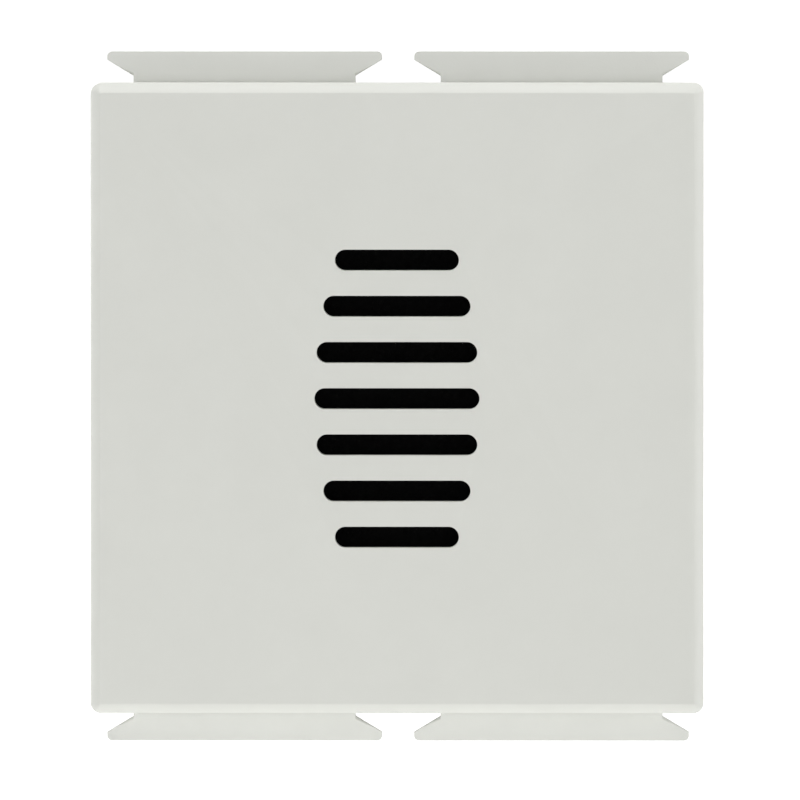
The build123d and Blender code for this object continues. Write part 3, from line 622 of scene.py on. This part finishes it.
tray_rings = []
for step in range(edge_steps + 1):
    angle = step / edge_steps * pi / 2
    inset = cover_edge * (1 - sin(angle) ** edge_power)
    depth = face_front + cover_edge * (1 - cos(angle) ** edge_power)
    tray_rings.append(ring(face_width - 2 * inset, face_height - 2 * inset, cover_corner - inset, depth))
inside = (face_width - 2 * skirt_wall, face_height - 2 * skirt_wall, inner_corner)
tray_rings.append(ring(face_width, face_height, cover_corner, skirt_rear))
tray_rings += [ring(*inside, skirt_rear), ring(*inside, cover_inner)]
tray = shell(tray_rings, "tray")
print("tray faces:", len(tray.polygons), "open edges:", open_edges(tray))

# %% [markdown]
# ## Rim and snap arms
#
# Behind the face a low rim holds the felt, and four arms with barbs snap into the windows of the
# carrier. They are separate closed shapes at first. A Boolean modifier then joins them to the tray, so
# that the cover is one skin, as a moulding is.

# %% Rim for the felt
felt_low, felt_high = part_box("dust_felt")
felt_width = felt_high.x - felt_low.x
felt_height = felt_high.z - felt_low.z
felt_gap = 0.2 * mm
rim_wall = 0.8 * mm
rim_height = 1.0 * mm
sunk = 0.4 * mm

rim_hollow = (felt_width + 2 * felt_gap, felt_height + 2 * felt_gap)
rim_inner = (*rim_hollow, inner_corner / 2)
rim_outer = (rim_hollow[0] + 2 * rim_wall, rim_hollow[1] + 2 * rim_wall, inner_corner)
rim_foot = cover_inner - sunk
rim_top = cover_inner + rim_height
rim_corners = ((rim_outer, rim_foot), (rim_outer, rim_top), (rim_inner, rim_top), (rim_inner, rim_foot))
rim = shell([ring(*size, depth) for size, depth in rim_corners], "rim", closed=True)
print("rim inside", [round(value / mm, 1) for value in rim_hollow], "mm, open edges:", open_edges(rim))

# %% Snap arms
arm_thickness = 1.2 * mm
arm_width = 5.0 * mm
arm_spacing = 24.0 * mm
arm_outer = 18.5 * mm
barb = 0.9 * mm
barb_front = 2.1 * mm
barb_rear = 4.7 * mm


def snap_arm(side, height):
    """One arm with its barb, on the left (-1) or the right (1), centred on a height."""
    profile = [
        (arm_outer - arm_thickness, cover_inner - sunk),
        (arm_outer, cover_inner - sunk),
        (arm_outer, barb_front),
        (arm_outer + barb, barb_front),
        (arm_outer + barb, barb_front + barb / 2),
        (arm_outer, barb_rear),
        (arm_outer - arm_thickness / 2, barb_rear),
        (arm_outer - arm_thickness, barb_front),
    ]
    ends = (height - arm_width / 2, height + arm_width / 2)
    return shell([[(side * x, y, end) for x, y in profile] for end in ends], "snap_arm")


# %% Join them to the tray
def united(mesh, others):
    """Join meshes to a mesh, as one skin."""
    piece = loose_object(mesh)
    helpers = [loose_object(other, "joined") for other in others]
    for helper in helpers:
        step = piece.modifiers.new("Join", "BOOLEAN")
        step.operation = "UNION"
        step.solver = "MANIFOLD"
        step.object = helper
    bpy.context.view_layer.update()
    result = applied(piece)
    for helper in helpers:
        bpy.data.objects.remove(helper)
    return result


arms = [snap_arm(side, height) for side in (-1, 1) for height in (-arm_spacing / 2, arm_spacing / 2)]
cover_blank = united(tray, [rim, *arms])
print("cover without slots:", len(cover_blank.polygons), "faces,", open_edges(cover_blank), "open edges")

# %% [markdown]
# ## Seven sound slots that follow a rule
#
# The slots are equal in height and pitch, but their tips lie on two arcs, so the middle slot is the
# longest. Seven cutters drawn by hand would work once. A tree does it by the rule: a small circle is
# placed on each row, its left and right halves are pulled apart by the length that the arc allows at
# that row, and the outlines become prisms that a Mesh Boolean cuts out of the cover.


# %% Tree for the slots
def slot_tree():
    """Cuts rows of round-ended slots through the front of a mesh.

    Each row's height is stored on its point first, so that every point of its circle still knows it.
    """
    tip_points = 40
    sizes = ["Pitch", "Height", "Reach", "Bow", "Front", "Depth"]
    tree, given = new_tree("Sound slots", sizes, ["Rows"])
    steps = reckon(tree, "SUBTRACT", given["Rows"], 1)
    lowest = vector(tree, y=reckon(tree, "MULTIPLY", reckon(tree, "MULTIPLY", steps, given["Pitch"]), -0.5))
    next_row = vector(tree, y=given["Pitch"])
    rows = put(tree, "GeometryNodeMeshLine", Count=given["Rows"], Start_Location=lowest, Offset=next_row)
    number = {"data_type": "FLOAT"}
    own_row = {"Name": "row", "Value": split(tree)["Y"]}
    marked = put(tree, "GeometryNodeStoreNamedAttribute", number, Geometry=rows, **own_row)
    tip = circle(tree, given["Height"], tip_points)
    turned = put(tree, "GeometryNodeTransform", Geometry=tip, Rotation=(0, 0, pi / tip_points))
    circles = put(tree, "GeometryNodeInstanceOnPoints", Points=marked, Instance=turned)
    outlines = put(tree, "GeometryNodeRealizeInstances", Geometry=circles)
    row = put(tree, "GeometryNodeInputNamedAttribute", number, Name="row")
    inset = reckon(tree, "SUBTRACT", given["Bow"], half_chord(tree, given["Bow"], row))
    tip_centre = reckon(tree, "SUBTRACT", given["Reach"], reckon(tree, "MULTIPLY", given["Height"], 0.5))
    side = reckon(tree, "SIGN", split(tree)["X"])
    pull = vector(tree, x=reckon(tree, "MULTIPLY", side, reckon(tree, "SUBTRACT", tip_centre, inset)))
    stretched = put(tree, "GeometryNodeSetPosition", Geometry=outlines, Offset=pull)
    flat = put(tree, "GeometryNodeFillCurve", {"mode": "NGONS"}, Curve=stretched)
    upright = {"Rotation": (pi / 2, 0, 0), "Translation": vector(tree, y=given["Front"])}
    cutters = put(tree, "GeometryNodeTransform", Geometry=plate(tree, flat, given["Depth"]), **upright)
    return close_tree(tree, given, cut_out(tree, given["Geometry"], cutters))


# %% Cut the slots
cut_room = 1.0 * mm
cover_round = 0.1 * mm
cover_mesh = grow(
    cover_blank,
    slot_tree(),
    cover_plastic,
    Rows=7,
    Pitch=3.3 * mm,
    Height=1.5 * mm,
    Reach=5.9 * mm,
    Bow=34.0 * mm,
    Front=cover_inner + cut_room,
    Depth=cover_wall + 2 * cut_room,
)
print("cover with slots:", len(cover_mesh.polygons), "faces,", open_edges(cover_mesh), "open edges")
finish_piece(soften(cover_mesh, cover_round), "front_cover_moulding", "front_cover", cover_plastic)

# %% [markdown]
# ## Moulded and punched pieces from their CAD solids
#
# These pieces already have the right shape, with their ribs, bosses, wells and holes. A merged copy of
# each gets rounds of a size that suits how it is made: a tenth of a millimetre on a moulding, and less
# on punched sheet.

# %% Copies with softened edges
plain_pieces = {
    "carrier": (carrier_plastic, 0.1 * mm),
    "rear_housing": (housing_plastic, 0.12 * mm),
    "bobbin": (nylon, 0.08 * mm),
    "chassis_plate": (sheet_zinc, 0.07 * mm),
    "stop_pad": (rubber, 0.08 * mm),
    "gong_post": (brass, 0.08 * mm),
    "gong_grommet": (rubber, 0.1 * mm),
    "gong_washer": (zinc, 0.06 * mm),
    "core_spacers": (brass, 0.08 * mm),
    "coil_tape": (film, 0.03 * mm),
    "armature": (iron, 0.08 * mm),
    "pivot_pin": (spring_steel, 0.04 * mm),
    "pivot_clip": (spring_steel, 0.05 * mm),
    "hammer_arm": (spring_steel, 0.06 * mm),
    "striker": (brass, 0.05 * mm),
    "coil_lead_left": (lead_sleeve, 0.04 * mm),
    "coil_lead_right": (lead_sleeve, 0.04 * mm),
    "terminal_plate_left": (brass, 0.08 * mm),
    "terminal_plate_right": (brass, 0.08 * mm),
    "terminal_washer_left": (zinc, 0.06 * mm),
    "terminal_washer_right": (zinc, 0.06 * mm),
}
for node, (material, edge) in plain_pieces.items():
    finish_piece(soften(cad_copy(node), edge), f"{node}_piece", node, material)

# %% [markdown]
# ## The return spring
#
# The return spring is wound round the hinge pin. Its hook holds on to the plate, and its long leg presses
# on the armature, so when the hammer swings the turns must wind up a little. Here the piece is given a
# bend, so it stays where it is on no body; the bodies and points in the bend are not used.

# %% Spring between the case and the hammer
joints = {joint["name"]: joint for joint in frame["record"]["behaviour"]["joints"]}
pin = Vector(joints["hammer_swing"]["pos_m"])
turns_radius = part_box("return_spring")[1].z - pin.z
bend = ("case", "hammer", pin, pin - Vector((0, 0, turns_radius)))
spring_edge = 0.02 * mm
spring_mesh = soften(cad_copy("return_spring"), spring_edge)
finish_piece(spring_mesh, "return_spring_piece", "return_spring", spring_steel, bend)

# %% [markdown]
# ## The gong, turned on its axis
#
# A bell is the same all the way round, so it needs only the outline of its wall, carried round the axis
# like clay on a wheel. That gives clean rows of four-sided faces, on which the polish shows no kinks.
# The CAD box tells the radius and the depth. The wall is one millimetre, and the shoulder is a quarter
# circle whose inner and outer arcs share a centre, as they do on sheet that was drawn over a round punch.


# %% Turn a bell
turned_steps = 96
shoulder_steps = 14


def turned(profile, name):
    """Carry a closed outline of (radius, depth) points round the Y axis."""
    angles = [2 * pi * step / turned_steps for step in range(turned_steps)]
    rings = [[(reach * cos(turn), depth, reach * sin(turn)) for turn in angles] for reach, depth in profile]
    return shell(rings, name, closed=True)


def shoulder(centre_radius, centre_depth, radius):
    """Points of a quarter circle, from the crown to the side wall."""
    turns = [step / shoulder_steps * pi / 2 for step in range(shoulder_steps + 1)]
    return [(centre_radius + radius * sin(turn), centre_depth - radius * cos(turn)) for turn in turns]


gong_low, gong_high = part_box("gong")
gong_wall = 1.0 * mm
gong_knee = 5.0 * mm
gong_hole = 1.6 * mm
gong_edge = 0.15 * mm
gong_radius = gong_high.x
knee_centre = (gong_radius - gong_wall / 2 - gong_knee, gong_low.y + gong_wall / 2 + gong_knee)
outer_wall = shoulder(*knee_centre, gong_knee + gong_wall / 2)
inner_wall = shoulder(*knee_centre, gong_knee - gong_wall / 2)
bell = [(gong_hole, gong_low.y), *outer_wall, (gong_radius, gong_high.y)]
bell += [(gong_radius - gong_wall, gong_high.y), *reversed(inner_wall), (gong_hole, gong_low.y + gong_wall)]
finish_piece(soften(turned(bell, "bell"), gong_edge, segments=3), "gong_bell", "gong", nickel)

# %% [markdown]
# ## Slotted screws
#
# Nine screws hold the object together, of four kinds but one design: a round head with a rounded rim
# and a straight slot, on a threaded shaft. Both trees below start from a plain cylinder with many rows
# and give each row of points a new radius. For the head the radius follows a quarter circle near the
# top. For the thread it follows a wave that climbs one pitch for each turn, which is all a thread is.


# %% Tree for the heads
def cylinder(tree, sides, rows, height):
    """A cylinder of radius 1 with many rows of points."""
    sizes = {"Vertices": sides, "Side_Segments": rows, "Radius": 1.0, "Depth": height}
    return put(tree, "GeometryNodeMeshCylinder", **sizes)


def lathed(tree, blank, place, radius, height):
    """Give each point of a cylinder of radius 1 a radius and a height of its own."""
    x, y = (reckon(tree, "MULTIPLY", place[axis], radius) for axis in "XY")
    return put(tree, "GeometryNodeSetPosition", Geometry=blank, Position=vector(tree, x, y, height))


def head_tree():
    """Slotted heads on the points of a mesh. A head stands on its point and rises along Z.

    The cutter of the slot is centred on the top and reaches past the rim, so half of it does the work.
    """
    head_sides, head_rows = 48, 20
    cutter_radii, cutter_depths = 3.0, 2.0
    tree, given = new_tree("Slotted head", ["Radius", "Height", "Round", "Slot Width", "Slot Depth"])
    blank = cylinder(tree, head_sides, head_rows, given["Height"])
    place = split(tree)
    up = reckon(tree, "ADD", place["Z"], reckon(tree, "MULTIPLY", given["Height"], 0.5))
    round_starts = reckon(tree, "SUBTRACT", given["Height"], given["Round"])
    over = reckon(tree, "MAXIMUM", reckon(tree, "SUBTRACT", up, round_starts), 0.0)
    flat_radius = reckon(tree, "SUBTRACT", given["Radius"], given["Round"])
    radius = reckon(tree, "ADD", flat_radius, half_chord(tree, given["Round"], over))
    head = lathed(tree, blank, place, radius, up)
    across = reckon(tree, "MULTIPLY", given["Radius"], cutter_radii)
    tall = reckon(tree, "MULTIPLY", given["Slot Depth"], cutter_depths)
    cutter = put(tree, "GeometryNodeMeshCube", Size=vector(tree, across, given["Slot Width"], tall))
    top = vector(tree, z=given["Height"])
    raised = put(tree, "GeometryNodeTransform", Geometry=cutter, Translation=top)
    return repeat(tree, given, given["Geometry"], cut_out(tree, head, raised))


# %% Tree for the threads
def thread_tree():
    """Threaded shafts that hang down along Z from the points of a mesh."""
    shaft_sides, rows_per_turn = 28, 8.0
    root_ends, crest_starts = 0.1, 0.4
    tip_share = 0.45
    tree, given = new_tree("Threaded shaft", ["Radius", "Length", "Pitch", "Depth", "Bare", "Point"])
    turns = reckon(tree, "DIVIDE", given["Length"], given["Pitch"])
    blank = cylinder(tree, shaft_sides, reckon(tree, "MULTIPLY", turns, rows_per_turn), given["Length"])
    place = split(tree)
    half = reckon(tree, "MULTIPLY", given["Length"], 0.5)
    from_tip = reckon(tree, "ADD", place["Z"], half)
    from_head = reckon(tree, "SUBTRACT", given["Length"], from_tip)
    around = reckon(tree, "DIVIDE", reckon(tree, "ARCTAN2", place["Y"], place["X"]), 2 * pi)
    climbed = reckon(tree, "DIVIDE", from_tip, given["Pitch"])
    wave = reckon(tree, "PINGPONG", reckon(tree, "SUBTRACT", climbed, around), 0.5)
    flank = between(tree, wave, 0.0, 1.0, root_ends, crest_starts)
    below_neck = between(tree, from_head, 0.0, 1.0, start=0.0, end=given["Bare"])
    ridge = reckon(tree, "MULTIPLY", flank, below_neck)
    root = reckon(tree, "SUBTRACT", given["Radius"], given["Depth"])
    outer = reckon(tree, "ADD", root, reckon(tree, "MULTIPLY", given["Depth"], ridge))
    pointed = between(tree, from_tip, tip_share, 1.0, start=0.0, end=given["Point"])
    radius = reckon(tree, "MULTIPLY", outer, pointed)
    down = reckon(tree, "SUBTRACT", place["Z"], half)
    return repeat(tree, given, given["Geometry"], lathed(tree, blank, place, radius, down))


# %% [markdown]
# The places and lengths of the screws come from the CAD boxes: a box gives the tip and the top of the
# head. It can't tell how high the head is or how thick the shaft, so each kind has those sizes written.


# %% Make a set of equal screws
def points_mesh(places):
    """A mesh of loose points."""
    mesh = bpy.data.meshes.new("places")
    mesh.from_pydata([(*place, 0) for place in places], [], [])
    return mesh


def merged(meshes, name):
    """Several meshes in one."""
    work = bmesh.new()
    for mesh in meshes:
        work.from_mesh(mesh)
    result = mesh_of(work, name)
    result.shade_smooth()
    result.set_sharp_from_angle(angle=sharp_angle)
    return result


Screw = namedtuple("Screw", "head_radius head_height shaft_radius pitch thread_depth point")
round_share = 0.35
slot_depth_share = 0.5
slot_width = 0.8 * mm
bare_neck = 0.4 * mm
head_edge = 0.04 * mm
heads = head_tree()
threads = thread_tree()


def make_screws(node, kind, columns=1, rows=1, to_rear=True):
    """Equal screws in one or two columns and rows, whose heads face the rear or the front."""
    low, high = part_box(node)
    side = 1 if to_rear else -1
    seat = high.y - kind.head_height if to_rear else low.y + kind.head_height
    across = (low.x + kind.head_radius, high.x - kind.head_radius)[:columns]
    upright = (low.z + kind.head_radius, high.z - kind.head_radius)[:rows]
    spots = points_mesh([(x, -side * z) for x in across for z in upright])
    head = {"Radius": kind.head_radius, "Height": kind.head_height, "Round": kind.head_height * round_share}
    head |= {"Slot_Width": slot_width, "Slot_Depth": kind.head_height * slot_depth_share}
    shaft = {"Radius": kind.shaft_radius, "Length": seat - low.y if to_rear else high.y - seat}
    shaft |= {"Pitch": kind.pitch, "Depth": kind.thread_depth, "Bare": bare_neck, "Point": kind.point}
    tops = soften(grow(spots, heads, zinc, **head), head_edge, segments=1)
    mesh = merged([tops, grow(spots, threads, zinc, **shaft)], node)
    mesh.transform(Matrix.Translation((0, seat, 0)) @ Matrix.Rotation(-side * pi / 2, 4, "X"))
    finish_piece(mesh, f"{node}_turned", node, zinc)


# %% All the screws
case_screw = Screw(1.9 * mm, 1.5 * mm, 1.0 * mm, 0.8 * mm, 0.2 * mm, 2 * mm)
core_screw = Screw(2.2 * mm, 1.5 * mm, 1.2 * mm, 0.45 * mm, 0.16 * mm, 0.3 * mm)
clamp_screw = Screw(2.75 * mm, 2.0 * mm, 1.45 * mm, 0.5 * mm, 0.18 * mm, 0.4 * mm)
make_screws("housing_screws", case_screw, columns=2, rows=2)
make_screws("core_screws", core_screw, rows=2)
make_screws("terminal_screw_left", clamp_screw)
make_screws("terminal_screw_right", clamp_screw)
make_screws("gong_screw", clamp_screw._replace(head_height=1.4 * mm), to_rear=False)

# %% [markdown]
# ## Sheets of the core
#
# The iron U isn't one block. It is a stack of punched sheets half a millimetre thick, so that the
# changing field doesn't heat it. The tree takes one flat outline, gives it the thickness of a sheet and
# repeats it along the stack with a hair of air between.


# %% Tree for a stack of sheets
def stack_tree():
    """Repeats a flat outline as sheets along Y."""
    tree, given = new_tree("Stack of sheets", ["Pitch", "Thickness"], ["Sheets"])
    sheet = plate(tree, given["Geometry"], given["Thickness"], Offset=vector(tree, y=1.0))
    rows = put(tree, "GeometryNodeMeshLine", Count=given["Sheets"], Offset=vector(tree, y=given["Pitch"]))
    return repeat(tree, given, rows, sheet)


# %% Stack the core
def front_outline(node):
    """The flat faces of a CAD node that lie at its front, facing the rear."""
    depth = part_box(node)[0].y
    work = flat_faces(node)
    away = [face for face in work.faces if max(abs(v.co.y - depth) for v in face.verts) > merge_distance]
    bmesh.ops.delete(work, geom=away, context="FACES")
    for face in work.faces:
        face.normal_flip()
    return mesh_of(work, f"{node}_outline")


sheet_pitch = 0.5 * mm
sheet_thickness = 0.47 * mm
sheet_edge = 0.03 * mm
core_low, core_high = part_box("core_laminations")
sheet_count = round((core_high.y - core_low.y) / sheet_pitch)
sheet_sizes = {"Sheets": sheet_count, "Pitch": sheet_pitch, "Thickness": sheet_thickness}
core_mesh = grow(front_outline("core_laminations"), stack_tree(), iron, **sheet_sizes)
print("sheets:", sheet_count, "open edges:", open_edges(core_mesh))
finish_piece(soften(core_mesh, sheet_edge, segments=1), "core_sheets", "core_laminations", iron)

# %% [markdown]
# ## Turns of the coil
#
# The winding is one wire that goes round the bobbin some seventy times in its outer layer. The tree
# lays a curve: point after point it reads a place on a rounded rectangle and moves on by one wire
# width for each turn. A circle swept along that curve gives the wire, and a plain block under it stands
# for the layers below.


# %% Tree for the turns
def winding_tree():
    """A wire laid round a rounded rectangle in the YZ plane, turn beside turn along X."""
    points_per_turn, corner_points, wire_sides = 24.0, 3, 6
    tree, given = new_tree("Coil turns", ["Wire", "Deep", "High", "Corner"], ["Turns"])
    box = put(tree, "GeometryNodeCurvePrimitiveQuadrilateral", Width=given["Deep"], Height=given["High"])
    rounded = {"Radius": given["Corner"], "Count": corner_points}
    path = put(tree, "GeometryNodeFilletCurve", {"mode": "POLY"}, Curve=box, **rounded)
    line = put(tree, "GeometryNodeMeshLine", Count=reckon(tree, "MULTIPLY", given["Turns"], points_per_turn))
    wire = put(tree, "GeometryNodeMeshToCurve", Mesh=line)
    turn = reckon(tree, "DIVIDE", put(tree, "GeometryNodeInputIndex"), points_per_turn)
    part_turn = reckon(tree, "FRACT", turn)
    spot = put(tree, "GeometryNodeSampleCurve", {"mode": "FACTOR"}, Curves=path, Factor=part_turn)
    spot_at = split(tree, spot.outputs["Position"])
    laid_at = vector(tree, reckon(tree, "MULTIPLY", turn, given["Wire"]), spot_at["X"], spot_at["Y"])
    laid = put(tree, "GeometryNodeSetPosition", Geometry=wire, Position=laid_at)
    return close_tree(tree, given, wire_along(tree, laid, given["Wire"], wire_sides))


# %% Wind the coil
wire_width = 0.2 * mm
winding_corner = 2.4 * mm
coil_low, coil_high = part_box("coil_winding")
coil_size = coil_high - coil_low
coil_centre = (coil_low + coil_high) / 2
turn_count = int(coil_size.x / wire_width) - 1
wire_mesh = grow(
    points_mesh([(0, 0)]),
    winding_tree(),
    copper,
    Turns=turn_count,
    Wire=wire_width,
    Deep=coil_size.y - wire_width,
    High=coil_size.z - wire_width,
    Corner=winding_corner - wire_width / 2,
)
slack = coil_size.x - (turn_count - 1) * wire_width
wire_start = coil_low.x + slack / 2 - wire_width / 2
wire_mesh.transform(Matrix.Translation((wire_start, coil_centre.y, coil_centre.z)))
print("turns:", turn_count, "faces:", len(wire_mesh.polygons), "open edges:", open_edges(wire_mesh))

# %% The layers below
layer_inset = 0.6 * wire_width
block = cad_copy("coil_winding")
narrow = Matrix.Diagonal((1, 1 - 2 * layer_inset / coil_size.y, 1 - 2 * layer_inset / coil_size.z, 1))
block.transform(Matrix.Translation(coil_centre) @ narrow @ Matrix.Translation(-coil_centre))
finish_piece(merged([block, wire_mesh], "coil_turns"), "coil_turns", "coil_winding", copper)

# %% [markdown]
# ## Felt
#
# Felt is a mat of fibres, so its face has no clean edge. The tree scatters points over the front of the
# mat with a fixed seed and lays a short bent strand on each. A strand has about a dozen faces, because
# there are thousands. The mat itself is a little thinner than its CAD box, to leave room for them.


# %% Tree for the fibres
def fibre_tree():
    """Short bent strands scattered over a surface, each turned by a random angle.

    The Random Value node keeps its plain number after its vector, so that number is output 1.
    """
    bow_share = 0.3
    strand_steps, strand_sides = 3, 3
    tree, given = new_tree("Felt fibres", ["Density", "Length", "Thickness"], ["Seed"])
    chance = {"Density": given["Density"], "Seed": given["Seed"]}
    method = {"distribute_method": "RANDOM"}
    spread = put(tree, "GeometryNodeDistributePointsOnFaces", method, Mesh=given["Geometry"], **chance)
    half = reckon(tree, "MULTIPLY", given["Length"], 0.5)
    start = vector(tree, reckon(tree, "MULTIPLY", half, -1.0))
    middle = vector(tree, y=reckon(tree, "MULTIPLY", given["Length"], bow_share))
    ends = {"Start": start, "End": vector(tree, half)}
    strand = put(tree, "GeometryNodeCurveQuadraticBezier", Resolution=strand_steps, Middle=middle, **ends)
    fibre = wire_along(tree, strand, given["Thickness"], strand_sides)
    number = {"data_type": "FLOAT"}
    turn = put(tree, "FunctionNodeRandomValue", number, Max=2 * pi, Seed=given["Seed"])
    spin = put(
        tree,
        "FunctionNodeRotateEuler",
        {"space": "LOCAL"},
        Rotation=spread.outputs["Rotation"],
        Rotate_By=vector(tree, z=turn.outputs[1]),
    )
    return repeat(tree, given, spread, fibre, Rotation=spin)


# %% Lay the fibres
fibre_width = 0.03 * mm
fibre_room = 0.05 * mm
field_inset = 0.4 * mm
field_corner = 0.3 * mm
mat_corner = 0.5 * mm
mat_edge = 0.1 * mm
field_size = (felt_width - 2 * field_inset, felt_height - 2 * field_inset, field_corner)
field_ring = ring(*field_size, felt_low.y + fibre_width)
field = bpy.data.meshes.new("field")
field.from_pydata(field_ring, [], [tuple(range(len(field_ring)))])
fibre_sizes = {"Density": 12 / mm**2, "Length": 0.7 * mm, "Thickness": fibre_width, "Seed": 7}
fibres = grow(field, fibre_tree(), felt_and_slot_shade, **fibre_sizes)

mat_size = (felt_width, felt_height, mat_corner)
mat = shell([ring(*mat_size, felt_low.y + fibre_room), ring(*mat_size, felt_high.y)], "mat")
# The mat and its fibres carry the felt material, which is darkened as painted slot shade.
finish_piece(merged([soften(mat, mat_edge), fibres], "felt_mat"), "felt_mat", "dust_felt", felt_and_slot_shade)

# %% [markdown]
# ## Floor and white room
#
# The photograph is a catalogue picture on plain white. The world gives a weak even light. For the camera,
# and for anything seen in a reflection, it is pure white. The floor lies below the object, keeps its
# shadow and throws light up from below. The lamps hardly reach its far parts, so what the camera sees of
# it glows more the farther it lies from the object, and stays as white as the world behind it.

# %% World
room_light = 0.2
world = bpy.data.worlds.new("white_room")
bpy.context.scene.world = world
world.use_nodes = True
room = world.node_tree


def lit_or_seen(tree, lit, seen):
    """One strength for light on a surface, and another for what the camera or a reflection sees."""
    rays = put(tree, "ShaderNodeLightPath").outputs
    mirrored = reckon(tree, "MAXIMUM", rays["Is Glossy Ray"], rays["Is Transmission Ray"])
    looking = reckon(tree, "MAXIMUM", rays["Is Camera Ray"], mirrored)
    return between(tree, looking, lit, seen, start=0.0, end=1.0)


fill(room, room.nodes["Background"], Color=(1, 1, 1, 1), Strength=lit_or_seen(room, room_light, 1.0))
print("room light", room_light)

# %% Floor
floor_drop = 12 * mm
floor_reach = 6.0
floor_grey = 0.86
table_light = 0.38
near_glow, far_glow = 0.25, 0.85
glow_starts, glow_full = 0.15, 0.8
floor_height = cad_box[0][2] - floor_drop
floor_mesh = bpy.data.meshes.new("floor")
corners = [(-floor_reach, -floor_reach), (floor_reach, -floor_reach)]
corners += [(floor_reach, floor_reach), (-floor_reach, floor_reach)]
floor_mesh.from_pydata([(x, y, floor_height) for x, y in corners], [], [(0, 1, 2, 3)])
floor = loose_object(floor_mesh, "floor")
floor_paint, floor_tree, floor_shader = new_material("floor_paint", Roughness=0.9)
away = length(floor_tree, object_places(floor_tree))
glow = between(floor_tree, away, near_glow, far_glow, glow_starts, glow_full)
fill(
    floor_tree,
    floor_shader,
    Base_Color=(floor_grey, floor_grey, floor_grey, 1),
    Emission_Color=(1, 1, 1, 1),
    Emission_Strength=lit_or_seen(floor_tree, table_light, glow),
)
floor_mesh.materials.append(floor_paint)
print(f"floor at {floor_height / mm:.1f} mm")

# %% [markdown]
# ## Lamps
#
# In the photograph the lower edge of the face is the brightest line, and the lower ears are lighter than
# the face, although nothing shines on them from above. So a large soft lamp hangs over the object, a
# little to the front, and the white table throws its light back up. The upper ears see little of that
# table, so they are darker. A weak lamp in front evens out the face, and two at the sides, a little
# behind, light the flanks and the back.
#
# A lamp's brightness is given as a level: at 1, white paper that faces the lamp looks white. The watts
# follow from the level and the distance.


# %% Soft lamps
lamp_distance = 0.9
lamp_width = 0.5
face_centre = Vector((0, face_front, 0))


def direction(azimuth, elevation):
    """A unit vector. Azimuth 0 is in front and 90 on the right, elevation 90 is overhead."""
    turn, rise = radians(azimuth), radians(elevation)
    return Vector((sin(turn) * cos(rise), -cos(turn) * cos(rise), sin(rise)))


def soft_lamp(name, azimuth, elevation, level):
    """A square area lamp that looks at the face from a direction."""
    data = bpy.data.lights.new(name, "AREA")
    data.shape = "SQUARE"
    data.size = lamp_width
    data.energy = level * (pi * lamp_distance) ** 2
    lamp = loose_object(data, name)
    away = direction(azimuth, elevation)
    lamp.location = face_centre + lamp_distance * away
    lamp.rotation_euler = (-away).to_track_quat("-Z", "Y").to_euler()
    lamp.visible_camera = False


soft_lamp("lamp_front", 0, 15, 0.09)
soft_lamp("lamp_over", 0, 80, 0.88)
soft_lamp("lamp_right", 100, 10, 0.32)
soft_lamp("lamp_left", -120, 10, 0.4)
print("lamps:", {light.name: round(light.energy, 1) for light in bpy.data.lights})

# %% [markdown]
# ## Camera
#
# The ears stand some seven millimetres behind the face, so a camera that isn't straight in front shows
# them shifted against it. In the photograph they lie two or three pixels high and about one to the right.
# So the camera stood a little above and a little to the right, and far enough away for the edges of the
# face to look parallel. The scale of the photograph fixes the lens: it must show as many millimetres as
# 800 pixels hold at that scale.

# %% Camera
image_width = 800
pixels_per_mm = 14.0
camera_distance = 2.0
camera_elevation = 1.6
camera_azimuth = 0.7
face_centre_pixel = (396.9, 398.7)

aim_x = (image_width / 2 - face_centre_pixel[0]) / pixels_per_mm * mm
aim_z = (face_centre_pixel[1] - image_width / 2) / pixels_per_mm * mm
aim = Vector((aim_x, face_front, aim_z))
camera_data = bpy.data.cameras.new("camera")
camera_data.sensor_width = 36
camera_data.lens = camera_data.sensor_width * camera_distance / (image_width / pixels_per_mm * mm)
camera_data.clip_start = 0.01
camera = loose_object(camera_data, "camera")
camera.location = aim + direction(camera_azimuth, camera_elevation) * camera_distance
camera.rotation_euler = (aim - camera.location).to_track_quat("-Z", "Y").to_euler()
bpy.context.scene.camera = camera
bpy.context.scene.view_settings.view_transform = "Standard"
print(f"lens {camera_data.lens:.0f} mm at {camera_distance} m")
